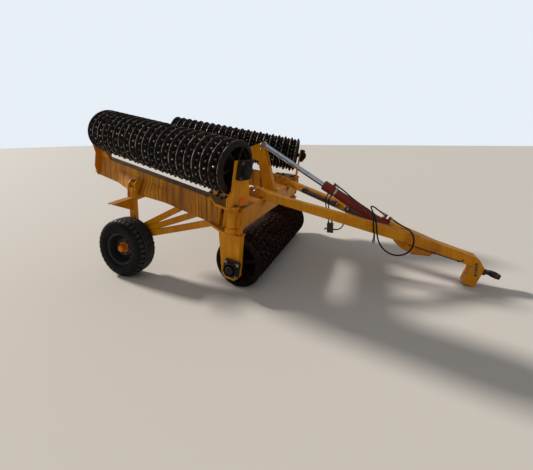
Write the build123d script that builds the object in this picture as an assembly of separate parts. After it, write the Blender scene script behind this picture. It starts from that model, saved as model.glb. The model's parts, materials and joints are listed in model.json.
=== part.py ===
"""Folded land roller: a three-gang, hydraulically tipped ring roller on its transport wheels.

Millimetres, +X towards the hitch, +Y to the machine's left, +Z up, ground at Z 0, and the
origin under the middle of the whole machine. The centre frame and both wings are drawn level,
in the frame's own axes, and then leant nose down together as the machine parks.
The right half is drawn and the left half is its mirror image.
"""

from build123d import *
import os
from math import atan, atan2, cos, degrees, radians, sin, tan

os.makedirs("parts", exist_ok=True)

# How it stands, in degrees
nose_down = 10.5  # lean of the whole frame about the centre roll's axis
toe_in = 10.5  # each folded wing's tail turned inward about its hinge pin
tip_travel = 100.0  # swing of the drawbar against the frame, parked to working

# Rings: smooth Cambridge rings with toothed breaker rings between them
ring_radius = 305.0
ring_valley = 262.0  # radius at the foot of the ridges
ring_bore = 236.0  # inside radius of the rims
ring_pitch = 120.0
ring_width = 60.0  # of one smooth rim
centre_rings = 18
wing_rings = 21
breaker_teeth = 24  # of the toothed ring between two smooth ones
breaker_tip = 302.0
breaker_root = 258.0
breaker_width = 34.0
ring_spokes = 6
spoke_width = 36.0
spoke_thick = 22.0
hub_radius = 62.0
shaft_radius = 35.0
fit_gap = 0.05  # radial clearance of a shaft or pin in its bore

# Centre frame, in the frame's own axes
roll_x = 62.0  # the centre roll's axis ahead of the hinge pins
beam_low = 755.0
beam_depth = 205.0
centre_beam_low, centre_beam_high = 763.0, 1022.0
centre_beam_front = 75.0
centre_beam_half = 1165.0
end_plate = 18.0
leg_outer = centre_beam_half + 3
leg_thick = 104.0
leg_wall = 15.0
leg_top = 692.0
leg_top_back, leg_top_front = -182.0, 100.0
leg_foot = 150.0
leg_foot_back, leg_foot_front = -66.0, 146.0
leg_cap_plate = 14.0

# Wing hinge
pivot_reach = 90.0  # of the hinge pin beyond the beam's end
pivot_y = centre_beam_half + pivot_reach
pivot_tube = 50.0
pivot_collar = 60.0
pivot_pin = 34.0
tube_low, tube_high = 797.0, 1016.0
lug_thick = 25.0

# Wing
wing_beam_high = 1042.0
wing_beam_depth = 150.0
wing_beam_start = 192.0  # behind the hinge pin
wing_beam_end = 2660.0
saddle_start, saddle_full, saddle_waist, saddle_end = 2170.0, 1680.0, 1560.0, 1110.0
saddle_deep, saddle_high = 100.0, 200.0  # out from the beam at its underside, and up its face
wing_beam_out = 34.0  # the beam's outer face inboard of the pin
wing_roll_in = 40.0  # the roll's axis inboard of the pin
wing_roll_z = 1470.0
wing_roll_start = 45.0
end_frame_thick = 20.0

# Tower
tower_half = 62.0
tower_wall = 16.0
tower_pin = (-257.0, 1652.0)
eye_room = 290.0  # open height below the pin

# Drawbar: along, across and up in its own axes, from the hinge pins
fork_gap = 5.0
tongue_width = 84.0
cheek_thick = 18.0
hinge_y = 540.0
hinge_x, hinge_z = -31.0, 1094.0
drawbar_fall = 16.3  # degrees below level, parked
tongue_radius = 54.0
arm_width = 100.0
arm_start = 140.0
arm_tail_low, arm_tail_high = -64.0, 31.0
arm_end = 1960.0
arm_end_y = 63.0
arm_low, arm_high = -88.0, 52.0  # at the head
head_neck = 320.0  # length over which the head narrows
head_width = 140.0
head_low, head_high = -86.0, 37.0
head_end = 2711.0
nose_reach = 114.0  # of the nose ahead of the head's top edge
ram_base = (1740.0, -22.0)
barrel_length = 1040.0
barrel_radius = 62.0
gland_length = 150.0
gland_radius = 69.0
rod_radius = 35.0
ram_eye = 46.0
ram_eye_width = 62.0
ram_pin = 25.0

# Wheels
wheel_x, wheel_y = -1474.0, pivot_y - 31
tyre_radius, tyre_width = 381.0, 262.0
rim_seat = 194.0
axle_radius = 30.0
post_y = pivot_y - 205
post_width, post_thick = 92.0, 56.0


def box(x0, x1, y0, y1, z0, z1):
    """A block between six named planes."""
    return Pos((x0 + x1) / 2, (y0 + y1) / 2, (z0 + z1) / 2) * Box(x1 - x0, y1 - y0, z1 - z0)


def bar(start, end, width, height):
    """A straight bar of a rectangular section between two points, its width level."""
    start, end = Vector(start), Vector(end)
    along = (end - start).normalized()
    across = Vector(0, 0, 1).cross(along).normalized()
    plane = Plane(start, x_dir=across, z_dir=along)
    return extrude(plane * Rectangle(width, height), (end - start).length)


def rod(start, end, radius):
    """A round bar between two points."""
    start, end = Vector(start), Vector(end)
    return extrude(Plane(start, z_dir=(end - start).normalized()) * Circle(radius), (end - start).length)


def plate_xz(points, y0, y1):
    """A flat plate drawn as (x, z) corners, between two values of y."""
    face = make_face(Polyline([(x, y0, z) for x, z in points], close=True))
    return extrude(face, amount=y1 - y0, dir=(0, 1, 0))


def plate_yz(points, x0, x1):
    """A flat plate drawn as (y, z) corners, between two values of x."""
    face = make_face(Polyline([(x0, y, z) for y, z in points], close=True))
    return extrude(face, amount=x1 - x0, dir=(1, 0, 0))


def plate_xy(points, z0, z1):
    """A flat plate drawn as (x, y) corners, between two values of z."""
    face = make_face(Polyline([(x, y, z0) for x, y in points], close=True))
    return extrude(face, amount=z1 - z0, dir=(0, 0, 1))


def turned_y(profile, y=0.0, x=0.0, z=0.0):
    """A solid of revolution about a line along Y, its profile given as (radius, y) corners."""
    face = make_face(Polyline([(r, s, 0) for r, s in profile], close=True))
    return Pos(x, y, z) * revolve(face, Axis.Y)


# Places: from the frame's axes, the wing's axes and the drawbar's axes to the parked machine
lean = Location((roll_x, 0, ring_radius)) * Rot(0, nose_down, 0) * Location((-roll_x, 0, -ring_radius))
hinge_point = Vector(*(lean * Pos(hinge_x, 0, hinge_z)).position)
fold = lean * Location((0, -pivot_y, 0)) * Rot(0, 0, -toe_in)
drawn_bar = Location(hinge_point) * Rot(0, drawbar_fall, 0)


def in_frame(shape):
    return lean * shape


def in_wing(shape):
    """The right wing is drawn straight back from its hinge pin, with y inboard of the pin."""
    return fold * shape


def in_drawbar(shape):
    return drawn_bar * shape


def together(solids):
    """Several solids as one shape; those that touch are joined."""
    whole = solids[0]
    for solid in solids[1:]:
        whole = whole + solid
    return whole


def mirrored(shape):
    return mirror(shape, about=Plane.XZ)


def place_of(location, point):
    return Vector(*(location * Pos(*point)).position)


# Ring gangs

def gang_length(count):
    return (count - 1) * ring_pitch + ring_width


def breaker_ring():
    """A toothed ring about Y, centred, its teeth standing up between two smooth rims."""
    corners = []
    for k in range(2 * breaker_teeth):
        radius = breaker_tip if k % 2 == 0 else breaker_root
        turn = radians(180 * k / breaker_teeth)
        corners.append((radius * cos(turn), radius * sin(turn)))
    hole = Cylinder((ring_bore + breaker_root) / 2, 2 * breaker_width, rotation=(90, 0, 0))
    return plate_xz(corners, -breaker_width / 2, breaker_width / 2) - hole


def gang(count):
    """One gang along Y, centred: smooth V-ridged rims on a pitch, a breaker ring in each space
    between them, and a spoked hub at each end."""
    half = gang_length(count) / 2
    ridge = [(ring_bore, -half)]
    for k in range(count):
        middle = -half + ring_width / 2 + k * ring_pitch
        ridge.append((ring_valley, middle - ring_width / 2))
        ridge.append((ring_radius, middle))
        ridge.append((ring_valley, middle + ring_width / 2))
    ridge.append((ring_bore, half))
    rims = turned_y(ridge)
    breaker = breaker_ring()
    first = -half + (ring_width + ring_pitch) / 2
    rims = rims.fuse(*[Pos(0, first + k * ring_pitch, 0) * breaker for k in range(count - 1)])
    for side in (-1, 1):
        middle = side * (half - spoke_thick)
        hub = Cylinder(hub_radius, 2 * spoke_thick, rotation=(90, 0, 0))
        hub = Pos(0, middle, 0) * hub
        reach = ring_bore + 4
        for k in range(ring_spokes):
            spoke = Pos(reach / 2, middle, 0) * Box(reach, spoke_thick, spoke_width)
            hub += Rot(0, k * 360 / ring_spokes, 0) * spoke
        rims += hub
    bore = Cylinder(shaft_radius + fit_gap, 2 * half + 20, rotation=(90, 0, 0))
    return rims - bore


def shaft(half):
    return Cylinder(shaft_radius, 2 * half, rotation=(90, 0, 0))


centre_gang_half = gang_length(centre_rings) / 2
wing_gang_half = gang_length(wing_rings) / 2
centre_axis = Pos(roll_x, 0, ring_radius)
wing_roll_x = -wing_roll_start - wing_gang_half
wing_axis = Pos(wing_roll_x, wing_roll_in, wing_roll_z) * Rot(0, 0, -90)

bearing_deep = 46.0
bearing_cap = 70.0
cap_deep = 34.0
centre_shaft_half = leg_outer + bearing_deep - 4
wing_front_face = end_frame_thick
wing_rear_face = -wing_beam_end + end_frame_thick
wing_shaft_front = wing_front_face + bearing_deep - 4
wing_shaft_rear = -wing_beam_end - bearing_deep + 4


# Centre frame

def centre_beam():
    back = centre_beam_front - beam_depth
    beam = box(back, centre_beam_front, -centre_beam_half, centre_beam_half, centre_beam_low, centre_beam_high)
    for side in (-1, 1):
        y = side * (centre_beam_half + end_plate / 2)
        beam += box(back - 12, centre_beam_front + 14, y - end_plate / 2, y + end_plate / 2,
                    centre_beam_low, centre_beam_high)
    return beam


def pivot(side=-1):
    """The upright hinge tube with its two collars and the web that joins it to the beam's end."""
    tube = Pos(0, -pivot_y, (tube_low + tube_high) / 2) * Cylinder(pivot_tube, tube_high - tube_low)
    collar_high = 16.0
    for z in (tube_low + collar_high / 2, tube_high - collar_high / 2):
        tube += Pos(0, -pivot_y, z) * Cylinder(pivot_collar, collar_high)
    web = box(-14, 14, -pivot_y, -centre_beam_half - end_plate, tube_low + 20, tube_high - 20)
    brace = box(30, centre_beam_front, -pivot_y + 20, -centre_beam_half - end_plate, tube_low + 20, tube_high - 20)
    bore = Pos(0, -pivot_y, tube_low) * Cylinder(pivot_pin + fit_gap, 3 * (tube_high - tube_low))
    return (tube + web + brace) - bore


def leg():
    """The tapered leg under the beam's end: a channel open to the roll, capped by a flange plate."""
    outline = [(leg_top_back, leg_top), (leg_top_front, leg_top), (leg_foot_front, leg_foot + 40),
               (leg_foot_front - 40, leg_foot), (leg_foot_back + 40, leg_foot), (leg_foot_back, leg_foot + 40)]
    inner = [(leg_top_back + leg_wall, leg_top - leg_wall), (leg_top_front - leg_wall, leg_top - leg_wall),
             (leg_foot_front - leg_wall, leg_foot + 46), (leg_foot_front - 46, leg_foot + leg_wall),
             (leg_foot_back + 46, leg_foot + leg_wall), (leg_foot_back + leg_wall, leg_foot + 46)]
    post = plate_xz(outline, -leg_outer, -leg_outer + leg_thick)
    post -= plate_xz(inner, -leg_outer + leg_wall, -leg_outer + leg_thick + 5)
    post += box(leg_top_back - 10, leg_top_front + 12, -leg_outer - 14, -leg_outer + leg_thick + 6,
                leg_top, leg_top + leg_cap_plate)
    post += box(centre_beam_front - beam_depth, centre_beam_front, -leg_outer + 6, -leg_outer + leg_thick,
                leg_top + leg_cap_plate, centre_beam_low)
    bore = Pos(roll_x, -leg_outer, ring_radius) * Cylinder(shaft_radius + 12, 60, rotation=(90, 0, 0))
    return post - bore


def flange_bearing(size):
    """A square flange housing with a round cap, standing out along -Y from its seat at y 0."""
    block = Pos(0, -bearing_deep / 2, 0) * Box(size, bearing_deep, size)
    block = fillet(block.edges().filter_by(Axis.Y), size * 0.12)
    block += Pos(0, -bearing_deep - cap_deep / 2, 0) * Cylinder(bearing_cap, cap_deep, rotation=(90, 0, 0))
    bore = Pos(0, -bearing_deep / 2 + 1, 0) * Cylinder(shaft_radius + fit_gap, bearing_deep + 2, rotation=(90, 0, 0))
    return block - bore


def tower():
    """The leaning mast: two cheeks that reach back at the top, open in front where the ram's eye swings."""
    px, pz = tower_pin
    cheek = [(-128, centre_beam_high), (44, centre_beam_high), (px + 44, pz - 60), (px + 22, pz + 34),
             (px - 20, pz + 32), (px - 190, pz - 70), (px - 205, pz - 240), (px - 26, pz - 240)]
    foot_x, throat = 44.0, (pz - eye_room - centre_beam_high) / (pz - 60 - centre_beam_high)
    throat_x = foot_x + throat * (px + 44 - foot_x)
    front = [(foot_x, centre_beam_high), (throat_x, pz - eye_room), (throat_x - tower_wall, pz - eye_room),
             (foot_x - tower_wall, centre_beam_high)]
    mast = plate_xz(cheek, -tower_half, -tower_half + tower_wall)
    mast += plate_xz(cheek, tower_half - tower_wall, tower_half)
    mast += plate_xz(front, -tower_half + tower_wall, tower_half - tower_wall)
    mast -= Pos(px, 0, pz) * Cylinder(ram_pin, 4 * tower_half, rotation=(90, 0, 0))
    back = [(px - 190, pz - 70), (px - 205, pz - 240), (px - 205 + tower_wall, pz - 240),
            (px - 190 + tower_wall, pz - 70)]
    mast += plate_xz(back, -tower_half + tower_wall, tower_half - tower_wall)
    return mast


def tower_ram_pin():
    """The pin's two ends in the cheeks; its middle turns with the ram's eye."""
    px, pz = tower_pin
    reach = tower_half + 12 - ram_eye_width / 2 - fork_gap
    middle = (tower_half + 12 + ram_eye_width / 2 + fork_gap) / 2
    return together([Pos(px, side * middle, pz) * Cylinder(ram_pin, reach, rotation=(90, 0, 0)) for side in (-1, 1)])


def drawbar_lugs():
    """Two forks on the beam's top, each of two cheeks round an arm's tongue, with a gusset in front."""
    cheek = [(hinge_x - 120, centre_beam_high), (hinge_x + 76, centre_beam_high), (hinge_x + 44, hinge_z + 10),
             (hinge_x + 22, hinge_z + 42), (hinge_x - 22, hinge_z + 42), (hinge_x - 60, hinge_z)]
    solids = []
    for side in (-1, 1):
        for edge in (-1, 1):
            middle = side * hinge_y + edge * (tongue_width / 2 + fork_gap + cheek_thick / 2)
            lug = plate_xz(cheek, middle - cheek_thick / 2, middle + cheek_thick / 2)
            lug -= Pos(hinge_x, middle, hinge_z) * Cylinder(ram_pin + fit_gap, 3 * cheek_thick, rotation=(90, 0, 0))
            solids.append(lug)
        gusset = [(centre_beam_front, centre_beam_high - 26), (centre_beam_front + 34, centre_beam_high - 26),
                  (centre_beam_front + 34, centre_beam_high - 60), (centre_beam_front, centre_beam_high - 120)]
        solids.append(plate_xz(gusset, side * hinge_y - 8, side * hinge_y + 8))
    return together(solids)


# Drawbar

def cross_section(x, y, width, low, high):
    """A rectangle across the drawbar's length, centred on y, between two heights."""
    return Plane((x, y, (low + high) / 2), x_dir=(0, 1, 0), z_dir=(1, 0, 0)) * Rectangle(width, high - low)


def arm():
    """The right arm: a round-ended tongue on the pin, then a box that deepens towards the head."""
    tongue = Pos(0, -hinge_y, 0) * Cylinder(tongue_radius, tongue_width, rotation=(90, 0, 0))
    tongue += plate_xz([(0, tongue_radius), (arm_start + 20, arm_tail_high), (arm_start + 20, arm_tail_low),
                        (arm_start - 20, 6 - tongue_radius), (0, 6 - tongue_radius)],
                       -hinge_y - tongue_width / 2, -hinge_y + tongue_width / 2)
    run = loft([cross_section(arm_start, -hinge_y, arm_width, arm_tail_low, arm_tail_high),
                cross_section(arm_end, -arm_end_y, arm_width, arm_low, arm_high)])
    return (tongue + run) - Pos(0, -hinge_y, 0) * Cylinder(ram_pin + fit_gap, 3 * tongue_width, rotation=(90, 0, 0))


def drawbar_pins():
    length = tongue_width + 2 * (fork_gap + cheek_thick) + 24
    return together([Pos(0, side * hinge_y, 0) * Cylinder(ram_pin, length, rotation=(90, 0, 0))
                     for side in (-1, 1)])


nose_front = head_end + nose_reach
ground_drop = hinge_point.Z  # the hinge pins above the ground
foot_back, foot_front = head_end - 23, nose_front - 15
foot_bend = -155.0  # where the foot's front plate turns back
slot_length, slot_width = 168.0, 26.0


def foot_level():
    """How far below the drawbar's line the foot's front edge meets the ground."""
    return (ground_drop - foot_front * sin(radians(drawbar_fall))) / cos(radians(drawbar_fall))


def foot_slot():
    """The long slot through the foot and the head above it, upright as the machine parks."""
    upright = radians(drawbar_fall)
    slot = Plane((head_end + 42, 0, -108), x_dir=(-sin(upright), 0, cos(upright)), z_dir=(0, 1, 0))
    return extrude(slot * SlotOverall(slot_length, slot_width), head_width, both=True)


def head():
    """The box that the arms run into, narrowing to its chamfered nose."""
    neck = arm_end + head_neck
    body = loft([cross_section(arm_end, 0, 2 * arm_end_y + arm_width, arm_low, arm_high),
                 cross_section(neck, 0, head_width, head_low, head_high)])
    nose = [(neck, head_low), (nose_front, head_low), (nose_front, -62), (head_end + 62, -6),
            (head_end, head_high), (neck, head_high)]
    return (body + plate_xz(nose, -head_width / 2, head_width / 2)) - foot_slot()


keel_start, keel_turn, keel_end = 1760.0, 2050.0, 2296.0
keel_deep = 116.0  # below the arms, at its lowest
keel_half, keel_plate = 68.0, 8.0


def keel():
    """Belly gusset under the meeting of the arms: side plates that curve down in front of a level
    sole, drawn level as the machine parks, and the sole between them."""
    low = arm_low - keel_deep
    rise = tan(radians(drawbar_fall))
    sole_end = keel_end - 40
    sole_high = low + rise * (sole_end - keel_turn)
    middle = ((keel_start + keel_turn) / 2, (arm_low + low) / 2 - 34)
    outline = [ThreePointArc((keel_start, arm_low), middle, (keel_turn, low)),
               Line((keel_turn, low), (sole_end, sole_high)),
               Line((sole_end, sole_high), (keel_end, head_low)),
               Line((keel_end, head_low), (keel_end, head_low + 10)),
               Line((keel_end, head_low + 10), (keel_start, arm_low + 10)),
               Line((keel_start, arm_low + 10), (keel_start, arm_low))]
    face = Plane((0, 0, 0), x_dir=(1, 0, 0), z_dir=(0, -1, 0)) * make_face(outline)
    side = extrude(face, amount=keel_plate / 2, both=True)
    plates = [Pos(0, y, 0) * side for y in (-keel_half + keel_plate, keel_half - keel_plate)]
    sole = plate_xz([(keel_turn, low), (sole_end, sole_high), (sole_end, sole_high - 10), (keel_turn, low - 10)],
                    -keel_half, keel_half)
    return plates[0] + plates[1] + sole


def parking_foot():
    """The box skid under the nose, with a slot through both sides."""
    low = -foot_level()
    outline = [(foot_back, head_low), (nose_front, head_low), (nose_front, foot_bend), (foot_front, low),
               (foot_back, low)]
    return plate_xz(outline, -head_width / 2 + 4, head_width / 2 - 4) - foot_slot()


eye_reach = 139.0  # of the ring's centre ahead of the nose
eye_u, eye_w = nose_front + eye_reach, -106.0
eye_outer, eye_bore, eye_thick = 62.0, 25.0, 46.0


def hitch_eye():
    """The forged ring and tongue that bolt to the nose."""
    ring = Pos(eye_u, 0, eye_w) * Cylinder(eye_outer, eye_thick)
    tongue = box(nose_front, eye_u - 20, -34, 34, eye_w - eye_thick / 2 + 3, eye_w + eye_thick / 2 - 3)
    flange = box(nose_front, nose_front + 22, -60, 60, eye_w - 34, eye_w + 34)
    return (ring + tongue + flange) - Pos(eye_u, 0, eye_w) * Cylinder(eye_bore, 3 * eye_thick)


def ram_bracket():
    """Two cheeks that reach back between the arms from the head and hold the ram's base pin."""
    u, w = ram_base
    cheek = [(arm_end, w - 40), (arm_end, arm_high - 6), (u + 30, w + 46), (u - 30, w + 46), (u - 46, w),
             (u - 30, w - 46), (u + 40, w - 56)]
    cheeks = plate_xz(cheek, 36, 52) + plate_xz(cheek, -52, -36)
    tie = box(arm_end - 60, arm_end, -36, 36, w - 36, w - 10)
    pin = Pos(u, 0, w) * Cylinder(ram_pin, 116, rotation=(90, 0, 0))
    return cheeks + tie + pin


stay_radius = 30.0
stay_level = -14.0
stay_table = ((385.0, 985.0), (1090.0, 1480.0))  # start and end of each length, along the drawbar


def stay_tubes():
    """Two lengths of tube along the inner side of an arm, each held to it by a clamp at either end."""
    slant = atan((hinge_y - arm_end_y) / (arm_end - arm_start))
    beside = arm_width / 2 + stay_radius / cos(slant)

    def spot(u):
        return (u, hinge_y - (u - arm_start) * tan(slant) - beside, stay_level)

    parts = []
    for start, end in stay_table:
        parts.append(rod(spot(start), spot(end), stay_radius))
        for clamp in (start + 30, end - 80):
            parts.append(bar(spot(clamp), spot(clamp + 50), 2 * stay_radius, 2 * stay_radius + 16))
    return together(parts)


# Ram, drawn from its base pin along its own line
tower_point = place_of(lean, (tower_pin[0], 0, tower_pin[1]))


def ram_at(tip):
    """Base pin, length and angle of the ram with the drawbar swung up by tip degrees."""
    swung = Location(hinge_point) * Rot(0, drawbar_fall - tip, 0)
    base = place_of(swung, (ram_base[0], 0, ram_base[1]))
    reach = tower_point - base
    return base, reach.length, degrees(atan2(reach.Z, reach.X))


ram_point, ram_length, ram_rise = ram_at(0)
ram_place = Location(ram_point) * Rot(0, -ram_rise, 0) * Rot(180, 0, 0)  # x to the tower, z up
ram_closed = ram_at(tip_travel)[1]


barrel_floor = 80.0
rod_tail = barrel_floor + 6 + ram_length - ram_closed  # the rod's inner end, just off the floor when closed


port_radius, outlet_radius = 17.0, 13.0
gland_turn, gland_port = barrel_length - 120, 92.0  # along the barrel, and the outlet's height
front_turn, rear_turn, base_port = 92.0, 152.0, 124.0
outlet_reach = 40.0  # of an elbow's outlet from its middle
front_tee, rear_tee, return_tee = 925.0, 874.0, 585.0  # places along the barrel of the stubs below it
stub_low = -80.0


def ram_barrel():
    """The barrel with its base eye, gland, the elbows that the hoses screw on to and three stubs below."""
    eye = Cylinder(ram_eye, ram_eye_width, rotation=(90, 0, 0))
    eye += box(0, 74, -28, 28, -40, 40)
    barrel = eye + rod((70, 0, 0), (barrel_length, 0, 0), barrel_radius)
    barrel += rod((barrel_length - gland_length, 0, 0), (barrel_length, 0, 0), gland_radius)
    barrel += box(front_turn - 26, rear_turn + 26, -22, 22, barrel_radius - 8, barrel_radius + 26)
    for turn, port, ahead, aside in elbow_table:
        barrel += rod((turn, 0, barrel_radius - 6), (turn, 0, port + outlet_radius + 3), port_radius)
        barrel += rod((turn, 0, port), (turn + ahead, aside, port), outlet_radius)
    for along in (front_tee, rear_tee, return_tee):
        barrel += rod((along, 0, 6 - barrel_radius), (along, 0, stub_low), outlet_radius)
    barrel -= rod((barrel_floor, 0, 0), (barrel_length + 10, 0, 0), rod_radius + 0.4)
    return barrel - Cylinder(ram_pin + fit_gap, 90, rotation=(90, 0, 0))


elbow_table = (  # place along the barrel, height, then the outlet's reach along and across
    (gland_turn, gland_port, -outlet_reach, 0.0),
    (front_turn, base_port, -outlet_reach, 0.0),
    (rear_turn, base_port, outlet_reach, 0.0),
)


def ram_rod():
    """The chrome rod, its far end inside the barrel, and the eye on the tower's pin."""
    eye = Pos(ram_length, 0, 0) * Cylinder(ram_eye, ram_eye_width, rotation=(90, 0, 0))
    stem = rod((rod_tail, 0, 0), (ram_length - 20, 0, 0), rod_radius)
    groove = Pos(ram_length, 0, 0) * (Cylinder(ram_pin + 3, 2 * ram_eye_width, rotation=(90, 0, 0))
                                      - Cylinder(ram_pin, 3 * ram_eye_width, rotation=(90, 0, 0))
                                      - Cylinder(ram_pin + 4, ram_eye_width - 8, rotation=(90, 0, 0)))
    return (eye + stem) - groove


# Hoses, laid out parked in the drawbar's axes; all ride on the barrel

def on_ram(along, high):
    """A point in the drawbar's axes, given along the ram from its base pin and above its line."""
    point = place_of(drawn_bar.inverse() * ram_place, (along, 0, high))
    return (point.X, point.Y, point.Z)


thick_hose, thin_hose = 19.0, 16.0  # diameters
coupler_top, coupler_low = (1560.0, -278.0, -128.0), (1572.0, -274.0, -190.0)
over_coupler = tuple(top + 0.8 * (top - low) for top, low in zip(coupler_top, coupler_low))
valve_place, valve_half = (1003.0, -10.0, -296.0), (42.0, 26.0, 66.0)  # middle and half sizes
gland_out = gland_turn - outlet_reach
front_out, rear_out = front_turn - outlet_reach, rear_turn + outlet_reach
hanging = Location(valve_place) * Rot(0, -drawbar_fall, 0)  # plumb, as the machine parks


def on_valve(along, high):
    """A point in the drawbar's axes, given from the stop valve's middle."""
    point = place_of(hanging, (along, 0, high))
    return (point.X, point.Y, point.Z)


half_long, _, half_high = valve_half

hose_table = (  # name, diameter, route's points in the drawbar's axes
    ("gland_hose", thick_hose,
     (on_ram(gland_out, gland_port), on_ram(gland_out - 90, gland_port), (1095, -28, 238), (1190, -58, 205),
      (1285, -92, 182), (1370, -132, 172), (1430, -185, 160), (1468, -243, 125), (1492, -280, 55),
      (1522, -290, -28), over_coupler, coupler_top)),
    ("base_hose", thick_hose,
     (on_ram(front_out, base_port), on_ram(front_out - 76, base_port), (1860, -34, 84), (1925, -85, 84),
      (1972, -143, 60), (2002, -188, 0), (2010, -206, -80), (1985, -212, -165), (1920, -215, -232),
      (1830, -218, -262), (1735, -225, -245), (1655, -238, -190), (1600, -256, -115), (1565, -276, -35),
      (1535, -290, 42), (1500, -286, 114), (1458, -252, 166), (1427, -200, 192), (1410, -146, 204),
      (1409, -95, 208), (1429, -49, 205), (1466, -16, 193), on_ram(rear_out + 76, base_port),
      on_ram(rear_out, base_port))),
    ("front_valve_hose", thin_hose,
     (on_ram(front_tee, stub_low), on_ram(front_tee, stub_low - 50), (828, -4, 45), (850, -8, -12),
      (880, -12, -72), (914, -12, -128), on_valve(-23, half_high + 60), on_valve(-23, half_high))),
    ("rear_valve_hose", thin_hose,
     (on_ram(rear_tee, stub_low), on_ram(rear_tee, stub_low - 50), (874, -4, 32), (894, -9, -22),
      (918, -14, -76), (946, -15, -128), on_valve(23, half_high + 40), on_valve(23, half_high))),
    ("return_valve_hose", thin_hose,
     (on_valve(half_long, -20), on_valve(half_long + 50, -20), (1134, -9, -258), (1154, -7, -210),
      (1158, -5, -156), (1152, -3, -100), (1143, -1, -46), on_ram(return_tee, stub_low - 45),
      on_ram(return_tee, stub_low))),
)


def hose(name, diameter, points):
    """A round hose through its route's points, each corner rounded by an arc; says the arcs' radii."""
    route = [place_of(drawn_bar, point) for point in points]
    bends = []
    for before, corner, after in zip(route, route[1:], route[2:]):
        arriving, leaving = corner - before, after - corner
        half_turn = radians(arriving.get_angle(leaving) / 2)
        bends.append(0.45 * min(arriving.length, leaving.length) / tan(half_turn))
    path = FilletPolyline(*route, radius=bends)
    print(name, "length", round(path.length, 1), "radii", [round(bend) for bend in bends])
    return sweep(Plane(route[0], z_dir=route[1] - route[0]) * Circle(diameter / 2), path=path)


def gland_coupler():
    """The quick coupler on the gland hose's free end, with its knurled sleeve."""
    end, tip = Vector(coupler_top), Vector(coupler_low)
    along = (tip - end).normalized()
    return rod(end, tip, 13) + rod(end + along * 14, end + along * 44, 18)


def stop_valve():
    """The valve block that hangs on the three thin hoses, with its tee handle towards the rear."""
    long, wide, high = valve_half
    stem_end = -long - 30
    body = Box(2 * long, 2 * wide, 2 * high) + rod((-long, 0, -20), (stem_end, 0, -20), 8)
    return hanging * (body + rod((stem_end, -40, -20), (stem_end, 40, -20), 7))


# Wing, with y inboard of the hinge pin and x ahead of it

def wing_beam():
    """The box beam, with the wedge-shaped saddle on its outer face that the wheel's post hangs from."""
    beam = box(-wing_beam_end, -wing_beam_start, wing_beam_out, wing_beam_out + wing_beam_depth, beam_low, wing_beam_high)
    out, tip = wing_beam_out, wing_beam_out - saddle_deep
    length = plate_xy([(-saddle_start, out), (-saddle_full, tip), (-saddle_waist, tip), (-saddle_end, out)],
                      beam_low, beam_low + saddle_high)
    slope = plate_yz([(out, beam_low), (tip, beam_low), (out, beam_low + saddle_high)], -saddle_start, -saddle_end)
    return beam + (length & slope)


def wing_hinge():
    """Upper and lower lugs that reach forward from the beam round the hinge tube, and the pin."""
    tail = -wing_beam_start - 190
    inboard = wing_beam_out + wing_beam_depth
    disc_top = Pos(0, 0, wing_beam_high + lug_thick / 2) * Cylinder(pivot_collar + 8, lug_thick)
    top = plate_xy([(tail, wing_beam_out), (-150, -128), (end_frame_thick, -128), (end_frame_thick, inboard + 66),
                    (-150, inboard + 66), (tail, inboard)], wing_beam_high, wing_beam_high + lug_thick)
    top += disc_top
    boss = Pos(0, 0, (tube_high + 1 + wing_beam_high) / 2) * Cylinder(pivot_collar, wing_beam_high - tube_high - 1)
    low_disc = Pos(0, 0, beam_low - lug_thick / 2) * Cylinder(pivot_collar + 4, lug_thick)
    low = plate_xy([(tail, wing_beam_out), (-60, -50), (20, -50), (20, 48), (-60, 50), (-190, 60), (-228, inboard),
                    (tail, inboard)],
                   beam_low - lug_thick, beam_low)
    low_boss = Pos(0, 0, (beam_low + tube_low - 1) / 2) * Cylinder(pivot_collar - 2, tube_low - 1 - beam_low)
    pin = Pos(0, 0, (tube_low + tube_high) / 2) * Cylinder(pivot_pin, tube_high - tube_low + 2.5)
    return top + boss + low + low_disc + low_boss + pin


def wing_front_plate():
    """The plate that stands on the upper lug and carries the roll's front bearing."""
    foot = wing_beam_high + lug_thick
    c = wing_roll_in
    outline = [(-128, foot), (inboard_edge + 60, foot), (inboard_edge + 44, foot + 170), (c + 138, wing_roll_z - 130),
               (c + 134, wing_roll_z + 96), (c - 138, wing_roll_z + 100), (c - 128, 1250), (-146, 1165), (-140, 1090)]
    plate = plate_yz(outline, 0, end_frame_thick)
    return plate - Pos(0, c, wing_roll_z) * Cylinder(shaft_radius + 12, 100, rotation=(0, 90, 0))


inboard_edge = wing_beam_out + wing_beam_depth


def wing_rear_plate():
    """The tail plate on the beam's end, with a curved side web that runs down on to the beam."""
    c = wing_roll_in
    x0 = -wing_beam_end
    outline = [(wing_beam_out - 70, wing_beam_high - 150), (wing_beam_out - 70, wing_beam_high + 60),
               (c - 134, 1260), (c - 134, wing_roll_z + 100), (c + 134, wing_roll_z + 100), (c + 134, 1260),
               (inboard_edge + 30, wing_beam_high + 60), (inboard_edge + 10, beam_low), (wing_beam_out - 20, beam_low)]
    plate = plate_yz(outline, x0 - end_frame_thick, x0)
    reach = 250.0
    corner = [(x0, wing_beam_high), (x0 + reach, wing_beam_high), (x0, wing_beam_high + reach)]
    web = plate_xz(corner, wing_beam_out, wing_beam_out + 14)
    scoop = Pos(x0 + reach + 30, wing_beam_out, wing_beam_high + reach + 30) * Cylinder(
        reach - 10, 60, rotation=(90, 0, 0))
    web -= scoop
    plate += web
    return plate - Pos(x0, c, wing_roll_z) * Cylinder(shaft_radius + 12, 100, rotation=(0, 90, 0))


def wing_bearings():
    housing = flange_bearing(214)
    front = Pos(wing_front_face, wing_roll_in, wing_roll_z) * Rot(0, 0, 90) * housing
    rear = Pos(-wing_beam_end - end_frame_thick, wing_roll_in, wing_roll_z) * Rot(0, 0, -90) * housing
    return together([front, rear])


# Transport wheel and what carries it, drawn upright on the ground on the right side

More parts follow.
